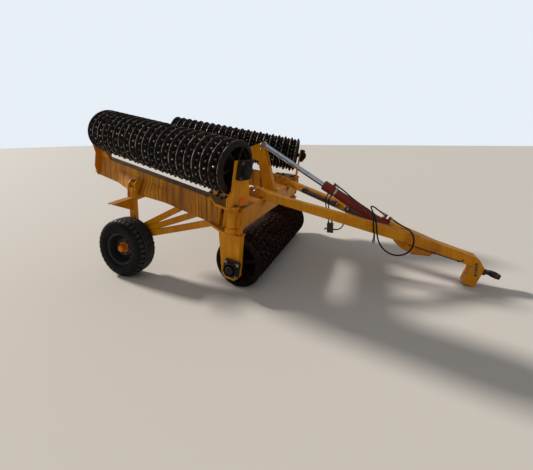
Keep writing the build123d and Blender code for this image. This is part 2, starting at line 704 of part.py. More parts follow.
def wheel_post(beam):
    """The post from the axle up to its clevis on the beam, with the shelf over the tyre."""
    x = wheel_x - 20
    face = place_of(fold, (x / cos(radians(toe_in)), wing_beam_out, beam_low))
    y_in, y_out = face.Y + 45, -post_y - post_thick / 2
    top = face.Z + 15
    post = box(x - post_width / 2, x + post_width / 2, y_out, y_out + post_thick, tyre_radius - 70, top)
    shelf = plate_yz([(y_out, top - 47), (y_out - 302, top - 65), (y_out - 302, top - 75), (y_out, top - 215)], x - 8, x + 8)
    shelf += plate_yz([(y_out, top - 35), (y_out - 312, top - 55), (y_out - 312, top - 67), (y_out, top - 47)], x - 60, x + 60)
    cheek = [(y_out - 6, face.Z + 20), (y_out + 16, face.Z + 165), (y_out + 60, face.Z + 212), (y_in, face.Z + 190),
             (y_in, face.Z - 50), (y_out - 6, face.Z - 65)]
    edge = post_width / 2 + 1
    cheeks = [plate_yz(cheek, x + edge, x + edge + 16), plate_yz(cheek, x - edge - 16, x - edge)]
    bridge = box(x - edge, x + edge, y_out + post_thick - 6, y_in, face.Z + 40, face.Z + 170)
    pin_y, pin_z, pin_half = y_out + 24, face.Z + 85, edge + 33
    pin = rod((x - pin_half, pin_y, pin_z), (x + pin_half, pin_y, pin_z), 17)
    neck = box(x - 30, x + 30, y_out + 2, y_out + post_thick - 8, top, pin_z + 25)
    return post + shelf + cheeks[0] + cheeks[1] + bridge + pin + neck - beam


strut_table = (  # place along the beam behind the hinge pin, height of the lower end
    (840.0, 560.0),
    (575.0, 520.0),
    (260.0, 470.0),
)
strut_width, strut_depth = 52.0, 78.0


def wheel_struts(beam, post, hinge):
    """Three box struts from the foot of the post forward and up to the beam's underside."""
    struts = []
    for along, foot_z in strut_table:
        top = place_of(fold, (-along, wing_beam_out + 40, beam_low + 20))
        low = Vector(wheel_x + 20, -post_y + 6, foot_z)
        struts.append(bar(low, top, strut_width, strut_depth))
    return together(struts) - beam - post - hinge


def stub_axle():
    """The axle that stands out of the post into the hub."""
    collar = rod((wheel_x, -post_y - post_thick / 2, tyre_radius), (wheel_x, -post_y - post_thick / 2 - 14, tyre_radius), 52)
    return collar + rod((wheel_x, -post_y - post_thick / 2, tyre_radius), (wheel_x, -wheel_y - 60, tyre_radius), axle_radius)


def tyre():
    """An implement tyre: flat tread, rounded shoulders, bulged walls and a bore on the rim's seat."""
    half = tyre_width / 2
    section = [(rim_seat, -half + 42), (rim_seat + 14, -half + 22), (tyre_radius - 120, -half),
               (tyre_radius - 62, -half + 2), (tyre_radius - 22, -half + 16), (tyre_radius - 4, -half + 42),
               (tyre_radius, 0)]
    section += [(r, -y) for r, y in reversed(section[:-1])]
    return turned_y(section, y=-wheel_y, x=wheel_x, z=tyre_radius)


def rim():
    half = tyre_width / 2
    section = [(rim_seat, -half + 30), (rim_seat + 16, -half + 20), (rim_seat + 10, -half + 16),
               (rim_seat - 9, -half + 26), (rim_seat - 40, -half + 70), (rim_seat - 52, -half + 90), (110, -half + 96),
               (110, -half + 106), (rim_seat - 44, -half + 100), (rim_seat - 30, -half + 84),
               (rim_seat - 20, half - 60), (rim_seat - 9, half - 26), (rim_seat + 10, half - 16),
               (rim_seat + 16, half - 20), (rim_seat, half - 30)]
    return turned_y(section, y=-wheel_y, x=wheel_x, z=tyre_radius)


def hub():
    half = tyre_width / 2
    section = [(0, -half + 20), (34, -half + 20), (44, -half + 30), (48, -half + 84), (109.7, -half + 86),
               (109.7, -half + 95.7), (66, -half + 106), (66, 60), (axle_radius + fit_gap, 60),
               (axle_radius + fit_gap, -half + 62), (0, -half + 62)]
    return turned_y(section, y=-wheel_y, x=wheel_x, z=tyre_radius)


# Assembly: node name, body and solid
nodes = []


def add(body, name, shape):
    nodes.append((body, name, shape))


add("centre_frame", "centre_beam", in_frame(centre_beam()))
add("centre_frame", "tower", in_frame(tower()))
add("centre_frame", "tower_ram_pin", in_frame(tower_ram_pin()))
add("centre_frame", "drawbar_lugs", in_frame(drawbar_lugs()))
bearing_seat = Pos(roll_x, -leg_outer, ring_radius)
for name, turn in (("right", lambda s: s), ("left", mirrored)):
    add("centre_frame", f"{name}_pivot_tube", turn(in_frame(pivot())))
    add("centre_frame", f"{name}_leg", turn(in_frame(leg())))
    add("centre_frame", f"{name}_leg_bearing", turn(in_frame(bearing_seat * flange_bearing(196))))

add("drawbar", "right_drawbar_arm", in_drawbar(arm()))
add("drawbar", "left_drawbar_arm", mirrored(in_drawbar(arm())))
add("drawbar", "drawbar_pins", in_drawbar(drawbar_pins()))
add("drawbar", "drawbar_head", in_drawbar(head()))
add("drawbar", "drawbar_keel", in_drawbar(keel() - head() - arm() - mirrored(arm())))
add("drawbar", "parking_foot", in_drawbar(parking_foot()))
add("drawbar", "hitch_eye", in_drawbar(hitch_eye()))
add("drawbar", "ram_bracket", in_drawbar(ram_bracket() - arm() - mirrored(arm())))
add("drawbar", "stay_tubes", in_drawbar(stay_tubes()))
add("ram_barrel", "ram_barrel", ram_place * ram_barrel())
for name, diameter, points in hose_table:
    add("ram_barrel", name, hose(name, diameter, points))
add("ram_barrel", "gland_coupler", in_drawbar(gland_coupler()))
add("ram_barrel", "stop_valve", in_drawbar(stop_valve()))
add("ram_rod", "ram_rod", ram_place * ram_rod())

right_beam = in_wing(wing_beam())
right_post = wheel_post(right_beam)
right_hinge = in_wing(wing_hinge())
wing_gang = wing_axis * gang(wing_rings)
wing_shaft = rod((wing_shaft_rear, wing_roll_in, wing_roll_z), (wing_shaft_front, wing_roll_in, wing_roll_z), shaft_radius)
for name, turn in (("right", lambda s: s), ("left", mirrored)):
    add(f"{name}_wing", f"{name}_wing_beam", turn(right_beam))
    add(f"{name}_wing", f"{name}_wing_hinge", turn(right_hinge))
    add(f"{name}_wing", f"{name}_front_plate", turn(in_wing(wing_front_plate())))
    add(f"{name}_wing", f"{name}_rear_plate", turn(in_wing(wing_rear_plate())))
    add(f"{name}_wing", f"{name}_roll_bearings", turn(in_wing(wing_bearings())))
    add(f"{name}_wing", f"{name}_wheel_post", turn(right_post))
    add(f"{name}_wing", f"{name}_wheel_struts", turn(wheel_struts(right_beam, right_post, right_hinge)))
    add(f"{name}_wing", f"{name}_stub_axle", turn(stub_axle()))
    add(f"{name}_wheel", f"{name}_tyre", turn(tyre()))
    add(f"{name}_wheel", f"{name}_rim", turn(rim()))
    add(f"{name}_wheel", f"{name}_hub", turn(hub()))
    add(f"{name}_roll", f"{name}_rings", turn(in_wing(wing_gang)))
    add(f"{name}_roll", f"{name}_roll_shaft", turn(in_wing(wing_shaft)))
add("centre_roll", "centre_rings", in_frame(centre_axis * gang(centre_rings)))
add("centre_roll", "centre_roll_shaft", in_frame(centre_axis * shaft(centre_shaft_half)))

# The origin goes under the middle of the machine's length
extents = [shape.bounding_box(optimal=False) for _, _, shape in nodes]
middle_x = (min(b.min.X for b in extents) + max(b.max.X for b in extents)) / 2
to_origin = Pos(-middle_x, 0, 0)

if __name__ == "__main__":
    for _, name, shape in nodes:
        export_step(to_origin * shape, f"parts/{name}.step")
    print("nodes", len(nodes), "middle_x", round(middle_x, 2), "ram length", round(ram_length, 1))
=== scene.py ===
# %% [markdown]
# # A folded ring roller
# The machine arrives as a fixed frame of solids in metres. This lesson gives it its looks:
# the ring gangs with their worn ridges and teeth, the tyres' tread, hoses, fasteners and paint.
# Everything is placed from the frame's own joints, so nothing has to be fitted by eye.

import bpy
import json
import numpy as np
from functools import partialmethod
from mathutils import Matrix, Vector


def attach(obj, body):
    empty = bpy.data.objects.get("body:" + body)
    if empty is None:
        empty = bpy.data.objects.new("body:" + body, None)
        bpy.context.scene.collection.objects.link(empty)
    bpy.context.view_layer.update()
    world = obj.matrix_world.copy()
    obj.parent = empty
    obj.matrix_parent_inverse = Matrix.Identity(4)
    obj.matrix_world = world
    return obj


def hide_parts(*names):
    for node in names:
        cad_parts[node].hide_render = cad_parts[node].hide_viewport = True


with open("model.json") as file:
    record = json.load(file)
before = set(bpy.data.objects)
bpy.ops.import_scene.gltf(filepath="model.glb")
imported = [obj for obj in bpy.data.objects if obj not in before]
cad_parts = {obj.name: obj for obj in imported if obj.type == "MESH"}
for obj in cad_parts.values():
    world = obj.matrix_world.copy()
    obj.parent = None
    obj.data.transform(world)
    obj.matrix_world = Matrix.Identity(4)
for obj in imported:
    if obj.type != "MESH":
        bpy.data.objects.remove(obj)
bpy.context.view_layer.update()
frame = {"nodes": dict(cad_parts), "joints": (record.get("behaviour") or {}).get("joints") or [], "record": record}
nodes = frame["nodes"]
joints = {joint["name"]: joint for joint in frame["joints"]}


def new_object(name, data):
    """An object with that data, in the scene."""
    made = bpy.data.objects.new(name, data)
    bpy.context.collection.objects.link(made)
    return made


# %% [markdown]
# ## Camera
# The photograph was taken with a wide lens and then cropped, so its optical centre lies above the
# middle of the picture. The crop is given back as a small vertical shift of the lens.

# %% Camera at the photograph's place
PICTURE_WIDTH, PICTURE_HEIGHT = 533, 470
OPTICAL_CENTRE = (269.4, 174.6)  # pixels
FOCAL_PIXELS = 285.4
CAMERA_PLACE = (1.326, -3.941, 1.800)
VIEW_YAW, VIEW_PITCH, VIEW_ROLL = 110.716, -7.504, -0.255  # degrees
SENSOR_WIDTH = 36.0

lens = bpy.data.cameras.new("camera")
lens.sensor_width = SENSOR_WIDTH
lens.lens = FOCAL_PIXELS / PICTURE_WIDTH * SENSOR_WIDTH
lens.shift_x = (PICTURE_WIDTH / 2 - OPTICAL_CENTRE[0]) / PICTURE_WIDTH
lens.shift_y = (OPTICAL_CENTRE[1] - PICTURE_HEIGHT / 2) / PICTURE_WIDTH
lens.clip_end = 400

# The lens looks forward, and its picture's right and up are level before they are rolled.
yaw, pitch, roll = np.radians([VIEW_YAW, VIEW_PITCH, VIEW_ROLL])
forward = np.array([np.cos(yaw) * np.cos(pitch), np.sin(yaw) * np.cos(pitch), np.sin(pitch)])
level = np.cross(forward, (0, 0, 1))
level /= np.linalg.norm(level)
upright = np.cross(level, forward)
right = np.cos(roll) * level + np.sin(roll) * upright
up = np.cos(roll) * upright - np.sin(roll) * level
camera = new_object("camera", lens)
camera.matrix_world = (Matrix.Translation(CAMERA_PLACE)
                       @ Matrix((right, up, -forward)).transposed().to_4x4())
bpy.context.scene.camera = camera
print("lens mm", round(lens.lens, 2), "shift", round(lens.shift_x, 4), round(lens.shift_y, 4))

# %% [markdown]
# ## Where things are
# The machine was drawn level and then leant: the frame about the centre roll's axis, each wing
# inward about its hinge pin, and the drawbar down to its foot. Each function below takes points in
# millimetres, in one such set of axes, to metres in the parked machine. The joints say where the
# axes stand. What both sides have is drawn on the right, and the left one is its mirror image.

# %% Places
LEAN, TOE_IN, DRAWBAR_FALL = 10.5, 10.5, 16.3  # degrees
ROLL_X, RING_RADIUS, PIVOT_Y = 62.0, 305.0, 1255.0
WHEEL_X, WHEEL_Y, TYRE_RADIUS = -1474.0, 1224.0, 381.0
SIDES = (("right", 1), ("left", -1))


def about_y(angle):
    """The rotation matrix about Y."""
    turn = np.radians(angle)
    return np.array([[np.cos(turn), 0, np.sin(turn)], [0, 1, 0], [-np.sin(turn), 0, np.cos(turn)]])


def about_z(angle):
    """The rotation matrix about Z."""
    turn = np.radians(angle)
    return np.array([[np.cos(turn), -np.sin(turn), 0], [np.sin(turn), np.cos(turn), 0], [0, 0, 1]])


def joint_place(name):
    """Where a joint of the frame stands, in metres."""
    return np.array(joints[name]["pos_m"])


def in_frame(points):
    """From the frame's own level axes: lean about the centre roll's axis."""
    offset = points - np.array((ROLL_X, 0, RING_RADIUS))
    return joint_place("centre_roll_spin") + offset @ about_y(LEAN).T / 1000


def in_wing(points):
    """From the right wing's axes: x ahead of the hinge pin, y inboard, z up."""
    return in_frame(points @ about_z(-TOE_IN).T - (0, PIVOT_Y, 0))


def in_drawbar(points):
    """From the drawbar's axes: along, across and up from the hinge pins."""
    return joint_place("drawbar_tip") + points @ about_y(DRAWBAR_FALL).T / 1000


def on_ground(points):
    """From upright axes on the ground, with the same x as the frame's."""
    shift = joint_place("centre_roll_spin") * (1, 0, 0) - (ROLL_X / 1000, 0, 0)
    return points / 1000 + shift


RAM_LINE = np.array(joints["ram_stroke"]["axis"])
RAM_UP = np.cross((0, 1, 0), RAM_LINE)


def on_ram(points):
    """From the ram's axes: along from its base pin, across to the left, up from its line."""
    along, across, up = (points / 1000).T[:, :, None]
    return joint_place("ram_base") + along * RAM_LINE + across * (0, 1, 0) + up * RAM_UP


print("hinge pins at", joint_place("drawbar_tip").round(3), "ram base at", joint_place("ram_base").round(3))

# %% [markdown]
# ## Hoses
# Five free hoses, each one smooth NURBS line through the same route points as its solid in the
# frame. Two thick ones feed the ram: one lies along the barrel, over the right arm and down to
# its coupler, the other makes a wide loop beside the head and comes back to the ram's base.
# Three thin ones carry the stop valve under the barrel.

# %% Hose routes
VALVE_PLACE = in_drawbar(np.array([(1003.0, -10.0, -296.0)]))  # the stop valve's middle
COUPLER_TOP, COUPLER_LOW = (1560.0, -278.0, -128.0), (1572.0, -274.0, -190.0)
OVER_COUPLER = tuple(top + 0.8 * (top - low) for top, low in zip(COUPLER_TOP, COUPLER_LOW))
THICK_HOSE, THIN_HOSE = 0.019, 0.016


def on_valve(points):
    """From the stop valve's own upright axes, which hang plumb from the drawbar."""
    return VALVE_PLACE + points / 1000


def route(*stretches):
    """The points of a hose in metres, from stretches each given in its own axes."""
    return np.concatenate([place(np.array(points, float)) for place, points in stretches])


hose_routes = {
    "gland_hose": (THICK_HOSE, "fitting", route(
        (on_ram, [(880, 0, 92), (790, 0, 92)]),
        (in_drawbar, [
            (1095, -28, 238), (1190, -58, 205), (1285, -92, 182), (1370, -132, 172), (1430, -185, 160),
            (1468, -243, 125), (1492, -280, 55), (1522, -290, -28), OVER_COUPLER, COUPLER_TOP]))),
    "base_hose": (THICK_HOSE, "object", route(
        (on_ram, [(52, 0, 124), (-24, 0, 124)]),
        (in_drawbar, [
            (1860, -34, 84), (1925, -85, 84), (1972, -143, 60), (2002, -188, 0), (2010, -206, -80),
            (1985, -212, -165), (1920, -215, -232), (1830, -218, -262), (1735, -225, -245),
            (1655, -238, -190), (1600, -256, -115), (1565, -276, -35), (1535, -290, 42),
            (1500, -286, 114), (1458, -252, 166), (1427, -200, 192), (1410, -146, 204),
            (1409, -95, 208), (1429, -49, 205), (1466, -16, 193)]),
        (on_ram, [(268, 0, 124), (192, 0, 124)]))),
    "front_valve_hose": (THIN_HOSE, "fitting", route(
        (on_ram, [(925, 0, -80), (925, 0, -130)]),
        (in_drawbar, [(828, -4, 45), (850, -8, -12), (880, -12, -72), (914, -12, -128)]),
        (on_valve, [(-23, 0, 126), (-23, 0, 66)]))),
    "rear_valve_hose": (THIN_HOSE, "object", route(
        (on_ram, [(874, 0, -80), (874, 0, -130)]),
        (in_drawbar, [(874, -4, 32), (894, -9, -22), (918, -14, -76), (946, -15, -128)]),
        (on_valve, [(23, 0, 106), (23, 0, 66)]))),
    "return_valve_hose": (THIN_HOSE, "object", route(
        (on_valve, [(42, 0, -20), (92, 0, -20)]),
        (in_drawbar, [
            (1134, -9, -258), (1154, -7, -210), (1158, -5, -156), (1152, -3, -100), (1143, -1, -46)]),
        (on_ram, [(585, 0, -125), (585, 0, -80)]))),
}


def hose_line(name, points, radius):
    """A curve object: one open NURBS spline with the route's points as its control points. The
    thickness is in the points and the bevel is 1, so that the curve's box fits the hose."""
    curve = bpy.data.curves.new(name, "CURVE")
    curve.dimensions = "3D"
    spline = curve.splines.new("NURBS")
    spline.points.add(len(points) - 1)
    spline.points.foreach_set("co", np.column_stack([points, np.ones(len(points))]).ravel())
    spline.points.foreach_set("radius", np.full(len(points), radius))
    spline.order_u = 3
    spline.use_endpoint_u = True
    curve.resolution_u = 12
    curve.bevel_depth = 1.0
    curve.bevel_resolution = 5
    curve.use_fill_caps = True
    return new_object(name, curve)


def points_along(curve_object):
    """The points of the spline itself, read from it with no thickness."""
    curve = curve_object.data.copy()
    curve.bevel_depth = 0.0
    bare = bpy.data.objects.new("bare", curve)
    mesh = bpy.data.meshes.new_from_object(bare)
    points = np.empty(3 * len(mesh.vertices))
    mesh.vertices.foreach_get("co", points)
    bpy.data.objects.remove(bare)
    bpy.data.meshes.remove(mesh)
    return points.reshape(-1, 3)


def distance_along(points):
    """How far along the line each of its points lies."""
    return np.concatenate([[0], np.cumsum(np.linalg.norm(np.diff(points, axis=0), axis=1))])


hose_objects, hose_points = {}, {}
for hose_name, (thick, far_end, points) in hose_routes.items():
    line = hose_line(hose_name + "_line", points, thick / 2)
    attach(line, "ram_barrel")
    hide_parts(hose_name)
    hose_objects[hose_name] = line
    hose_points[hose_name] = points_along(line)
    length = distance_along(hose_points[hose_name])[-1]
    print(hose_name, "points", len(points), "length", length.round(3))

# %% [markdown]
# ## Small tools for shaders
# Each finish is a short network: noise in object coordinates for broad and fine variation, a
# wear mask along edges from the difference between the rounded and the true normal, and dirt
# that settles where a face looks up.

# %% Shader helpers
finishes = {}  # every finish by its name


def linear(colour):
    """A colour as light needs it. A tuple is red, green and blue as seen on a screen, 0 to 255;
    anything else is a node's output and stays."""
    if not isinstance(colour, tuple):
        return colour
    seen = np.array(colour) / 255
    light = np.where(seen <= 0.04045, seen / 12.92, ((seen + 0.055) / 1.055) ** 2.4)
    return (*light.tolist(), 1.0)


class Network:
    """A tree of shader nodes under construction."""

    def __init__(self, tree):
        self.tree = tree

    def feed(self, node, feeds):
        """Fills a node's inputs: each value is another node's output, a number or a colour."""
        for socket, value in feeds.items():
            if isinstance(value, bpy.types.NodeSocket):
                self.tree.links.new(value, node.inputs[socket])
            else:
                node.inputs[socket].default_value = value

    def add(self, kind, feeds, **settings):
        """A new node with its own settings and its inputs filled; returns its outputs."""
        made = self.tree.nodes.new("ShaderNode" + kind)
        for field, value in settings.items():
            setattr(made, field, value)
        self.feed(made, feeds)
        return made.outputs


class Finish(Network):
    """A material under construction: most methods add one node and return its output."""

    def __init__(self, name):
        self.material = bpy.data.materials.new(name)
        self.material.use_nodes = True
        finishes[name] = self.material
        super().__init__(self.material.node_tree)
        self.shader = self.tree.nodes["Principled BSDF"]
        self.place = self.mapped((1, 1, 1))

    def mapped(self, stretch):
        """Object coordinates, stretched along each axis."""
        place = self.add("TexCoord", {})["Object"]
        return self.add("Mapping", {"Vector": place, "Scale": stretch})[0]

    def noise(self, scale, detail=4.0, rough=0.6, place=None):
        feeds = {"Vector": place or self.place, "Scale": scale, "Detail": detail, "Roughness": rough}
        return self.add("TexNoise", feeds)["Fac"]

    def ramp(self, value, low, high, from_value=0.0, to_value=1.0):
        """Smooth step: from_value below low, to_value above high."""
        feeds = {"Value": value, "From Min": low, "From Max": high, "To Min": from_value,
                 "To Max": to_value}
        return self.add("MapRange", feeds, interpolation_type="SMOOTHSTEP")[0]

    def math(self, operation, first, second):
        """One sum with two values, held between 0 and 1."""
        return self.add("Math", {0: first, 1: second}, operation=operation, use_clamp=True)[0]

    times = partialmethod(math, "MULTIPLY")
    plus = partialmethod(math, "ADD")
    minus = partialmethod(math, "SUBTRACT")
    larger = partialmethod(math, "MAXIMUM")

    def mix(self, factor, first, second):
        feeds = {"Factor": factor, "A": linear(first), "B": linear(second)}
        return self.add("Mix", feeds, data_type="RGBA")["Result"]

    def normal(self):
        return self.add("NewGeometry", {})["Normal"]

    def rounded_normal(self, radius):
        """The normal as it would be if edges were rounded to that radius."""
        return self.add("Bevel", {"Radius": radius}, samples=4)[0]

    def facing_up(self, low=0.55, high=0.95):
        """1 where the face looks up, 0 where it is upright or looks down."""
        return self.ramp(self.add("SeparateXYZ", {0: self.normal()})["Z"], low, high)

    def edges(self, radius, low, high):
        """1 along sharp edges: how far the rounded normal leans away from the true one."""
        normals = {0: self.rounded_normal(radius), 1: self.normal()}
        dot = self.add("VectorMath", normals, operation="DOT_PRODUCT")["Value"]
        return self.ramp(self.minus(1.0, dot), low, high)

    def attribute(self, name):
        return self.add("Attribute", {}, attribute_name=name)["Fac"]

    def bump(self, height, strength, distance, radius=0.0):
        feeds = {"Height": height, "Strength": strength, "Distance": distance}
        if radius:
            feeds["Normal"] = self.rounded_normal(radius)
        self.feed(self.shader, {"Normal": self.add("Bump", feeds)[0]})

    def finish(self, colour, rough, metal=0.0, specular=0.5):
        """Ends the network at the material's own shader."""
        self.feed(self.shader, {"Base Color": linear(colour), "Roughness": rough, "Metallic": metal,
                                "Specular IOR Level": specular})


# %% [markdown]
# ## Light
# A soft key light stands behind the machine, as the low sun did, and a plain pale world fills the
# shade. What the camera sees behind the machine is a separate pale colour, only for camera rays.

# %% Light
KEY_DIRECTION = (-0.84, 0.10, 0.50)  # towards the light
KEY_STRENGTH, KEY_ANGLE = 4.2, 7.0
KEY_COLOUR = (1.0, 0.96, 0.90)
FILL_STRENGTH = 0.38
FILL_COLOUR = (0.95, 0.97, 1.0, 1)
SKY_SEEN = (0.80, 0.86, 0.93, 1)

bpy.context.scene.view_settings.view_transform = "Standard"
sun = bpy.data.lights.new("key", "SUN")
sun.energy = KEY_STRENGTH
sun.angle = np.radians(KEY_ANGLE)
sun.color = KEY_COLOUR
key = new_object("key", sun)
key.rotation_mode = "QUATERNION"
key.rotation_quaternion = Vector(KEY_DIRECTION).to_track_quat("Z", "Y")

world = bpy.data.worlds.new("studio")
world.use_nodes = True
world.node_tree.nodes.clear()
sky = Network(world.node_tree)
fill = sky.add("Background", {"Color": FILL_COLOUR, "Strength": FILL_STRENGTH})[0]
seen = sky.add("Background", {"Color": SKY_SEEN})[0]
from_camera = sky.add("LightPath", {})["Is Camera Ray"]
sky.add("OutputWorld", {"Surface": sky.add("MixShader", {0: from_camera, 1: fill, 2: seen})[0]})
bpy.context.scene.world = world
print("key", KEY_STRENGTH, "fill", FILL_STRENGTH)

# %% [markdown]
# ## Paint
# The frame is sprayed a golden orange that has weathered: rain has drawn brown streaks down the
# upright faces, most of all on the wing beams under their wet rolls. Stones have chipped it, the
# edges are scuffed through to rust, and dirt lies on what looks up.

# %% Weathered paint


def weathered_paint(name, fresh, faded, streaks, chips, shade_beyond=None, sideways=1.0):
    """streaks and chips say how strong those are. The argument after chips is a distance from the wheels'
    axle, in metres, outside which the paint is painted nearly black as painted shade deep in the
    wheel's rim. sideways is how much the streaks change with y, against x."""
    f = Finish(name)
    colour = f.mix(f.ramp(f.noise(1.7, 3), 0.35, 0.7), fresh, faded)
    drips = f.ramp(f.noise(11.0, 6, 0.7, f.mapped((1.0, sideways, 0.05))), 0.47, 0.66)
    colour = f.mix(f.times(drips, streaks), colour, (112, 60, 12))
    fine_drips = f.ramp(f.noise(38.0, 4, 0.7, f.mapped((1.0, sideways, 0.03))), 0.46, 0.64)
    colour = f.mix(f.times(fine_drips, 0.9 * streaks), colour, (106, 58, 16))
    grime = f.times(f.facing_up(), f.ramp(f.noise(5.0, 4), 0.25, 0.75, 0.15, 0.70))
    colour = f.mix(grime, colour, (116, 88, 58))
    worn = f.times(f.edges(0.010, 0.015, 0.14), f.ramp(f.noise(7.0, 6, 0.7), 0.46, 0.60))
    chip = f.ramp(f.noise(58.0, 2, 0.5), 0.70, 0.74)
    patch = f.ramp(f.noise(3.1, 3), 0.48, 0.66)
    bare = f.larger(worn, f.times(f.times(chip, patch), chips))
    rust = f.mix(f.noise(90.0, 3), (52, 30, 20), (116, 62, 30))
    colour = f.mix(bare, colour, rust)
    # Beyond that distance from the axle the hub is painted nearly black: painted shade deep in the rim.
    if shade_beyond:
        places = {0: f.mapped((1, 0, 1)), 1: on_ground(np.array((WHEEL_X, 0, TYRE_RADIUS)))}
        offset = f.add("VectorMath", places, operation="SUBTRACT")[0]
        away = f.add("VectorMath", {0: offset}, operation="LENGTH")["Value"]
        uneven = f.plus(away, f.ramp(f.noise(30.0, 4), 0.3, 0.7, 0.0, 0.016))
        painted_shade = f.ramp(uneven, shade_beyond, shade_beyond + 0.008, 0.0, 0.92)
        colour = f.mix(painted_shade, colour, (22, 18, 16))
    rough = f.ramp(f.noise(24.0, 3), 0.2, 0.8, 0.38, 0.62)
    f.bump(f.minus(f.noise(160.0, 2), f.times(bare, 0.8)), 0.25, 0.0015, 0.004)
    f.finish(colour, f.larger(rough, f.times(bare, 0.85)), specular=0.22)


weathered_paint("golden_paint", (222, 146, 0), (200, 120, 4), 0.22, 0.6)
weathered_paint("streaked_paint", (216, 142, 8), (186, 114, 14), 0.85, 0.5, sideways=0.05)
# The hub's paint: more than 74 mm from the axle it is painted nearly black, as painted shade deep in the rim.
weathered_paint("hub_paint", (214, 112, 16), (170, 84, 20), 0.3, 0.8, 0.074)
weathered_paint("maroon_paint", (126, 40, 38), (104, 46, 44), 0.25, 0.9)
print("paints", sorted(finishes))

# %% [markdown]
# ## Iron, steel and rubber
# The rings are cast iron, nearly black with soil and rust; only the ridges that touch stones are
# polished. A float attribute called ridge on the ring meshes says where that is. The centre roll's
# iron is a darker copy, painted shade for the shadow under the frame, and its ridges are brown with
# rust where the raised rolls' ridges shine.

# %% Iron, steel and rubber


def soiled_iron(name, dark, rusty, shine, specular=0.22):
    """Cast iron with soil on what looks up, and shine where the attribute ridge says so."""
    f = Finish(name)
    colour = f.mix(f.ramp(f.noise(6.0, 5), 0.35, 0.7), dark, rusty)
    soil = f.times(f.facing_up(0.1, 0.95), f.ramp(f.noise(9.0, 5), 0.42, 0.62))
    colour = f.mix(f.times(soil, 0.6), colour, (92, 56, 34))
    ridge = f.times(f.attribute("ridge"), f.ramp(f.noise(15.0, 4), 0.38, 0.72))
    colour = f.mix(ridge, colour, shine)
    f.bump(f.noise(120.0, 4, 0.7), 0.5, 0.002)
    rough = f.ramp(ridge, 0.0, 1.0, 0.74, 0.26)
    f.finish(colour, rough, f.times(ridge, 0.9), specular)


def plain_steel(name, bright, dull, low_rough, high_rough, metal=1.0, stain=0.35, specular=0.5):
    """Steel or smooth paint in two tones, with rusty spots of strength stain."""
    f = Finish(name)
    tone = f.ramp(f.noise(20.0, 5), 0.35, 0.7)
    spots = f.ramp(f.noise(70.0, 3), 0.60, 0.72)
    colour = f.mix(f.times(spots, stain), f.mix(tone, bright, dull), (96, 58, 34))
    f.bump(f.noise(220.0, 2), 0.15, 0.001, 0.002)
    rough = f.ramp(tone, 0.0, 1.0, low_rough, high_rough)
    f.finish(colour, rough, metal, specular)


def dusty_rubber(name, black, dust, amount):
    """Black rubber with a film of dust, thicker where the attribute worn says so."""
    f = Finish(name)
    tone = f.mix(f.ramp(f.noise(7.0, 4), 0.3, 0.7), black, (11, 11, 13))
    film = f.times(f.ramp(f.noise(16.0, 5), 0.35, 0.68), amount)
    tops = f.times(f.attribute("worn"), f.ramp(f.noise(12.0, 4), 0.3, 0.7, 0.5, 0.9))
    f.bump(f.noise(260.0, 2), 0.2, 0.001)
    rough = f.ramp(f.noise(30.0, 3), 0.2, 0.8, 0.42, 0.7)
    f.finish(f.mix(f.plus(film, tops), tone, dust), rough, specular=0.10)


soiled_iron("ring_iron", (16, 13, 12), (40, 26, 19), (222, 214, 202))
# The centre roll: the ring iron made darker as painted shade under the frame, with ridges brown with rust.
soiled_iron("rust_and_shade_iron", (11, 8, 7), (34, 20, 14), (104, 72, 56), 0.10)
soiled_iron("bearing_iron", (30, 28, 28), (54, 42, 34), (120, 116, 112))
plain_steel("shaft_steel", (96, 82, 72), (70, 52, 42), 0.5, 0.8, 0.6)
plain_steel("pin_steel", (176, 174, 170), (130, 126, 120), 0.3, 0.5)
plain_steel("eye_steel", (62, 52, 46), (44, 36, 32), 0.45, 0.7, 0.6)
plain_steel("pipe_steel", (198, 198, 194), (160, 158, 152), 0.28, 0.45)
dusty_rubber("tyre_rubber", (5, 5, 7), (62, 60, 58), 0.06)
dusty_rubber("hose_rubber", (11, 11, 12), (60, 56, 52), 0.12)
plain_steel("tube_black", (34, 32, 32), (52, 46, 42), 0.4, 0.6, 0.0, 0.4)
plain_steel("rim_paint", (9, 9, 12), (16, 15, 15), 0.5, 0.7, 0.0, 0.12, 0.14)
plain_steel("fitting_zinc", (120, 118, 112), (72, 68, 64), 0.35, 0.55, 0.9, 0.4)
plain_steel("valve_black", (26, 26, 28), (46, 43, 42), 0.35, 0.55, 0.0, 0.3)
plain_steel("rim_edge", (44, 44, 48), (24, 23, 23), 0.35, 0.55, 0.2, 0.3, 0.3)
plain_steel("red_cap", (196, 38, 30), (150, 30, 26), 0.4, 0.6, 0.0, 0.2)
plain_steel("white_cap", (208, 206, 200), (170, 166, 158), 0.4, 0.6, 0.0, 0.25)

# Chrome is almost a mirror, under a thin oily film. Its blue tint is a painted reflection of the sky.
f = Finish("ram_chrome")
film = f.ramp(f.noise(14.0, 4, 0.6), 0.4, 0.75)
f.bump(f.noise(300.0, 2), 0.04, 0.0005)
f.finish(f.mix(film, (196, 207, 224), (170, 180, 196)), f.ramp(film, 0.0, 1.0, 0.10, 0.24), 1.0)

# The reflector is moulded in small cells.
f = Finish("orange_lens")
cells = f.add("TexVoronoi", {"Vector": f.place, "Scale": 260.0})["Distance"]
f.finish(f.mix(cells, (240, 108, 12), (212, 80, 6)), 0.3, specular=0.3)

# The inside of a drilled hole is painted shade: a dark colour on a shallow disc.
f = Finish("painted_shade_hole")
f.finish(f.mix(f.noise(40.0), (16, 13, 12), (34, 24, 18)), 0.9)
print("finishes", len(finishes))

# %% [markdown]
# ## Finishes on the solids
# Each solid takes its finish from its slot in the record. The wing beams' paint is streaked, and
# the stop valve, which has the slot of silver steel, is black.

# %% Dress the solids
OTHER_NAMES = {"paint": "golden_paint", "ram_paint": "maroon_paint"}


def finish_of(slot):
    """The finish of a slot: it has the slot's own name, apart from two."""
    return finishes[OTHER_NAMES.get(slot, slot)]


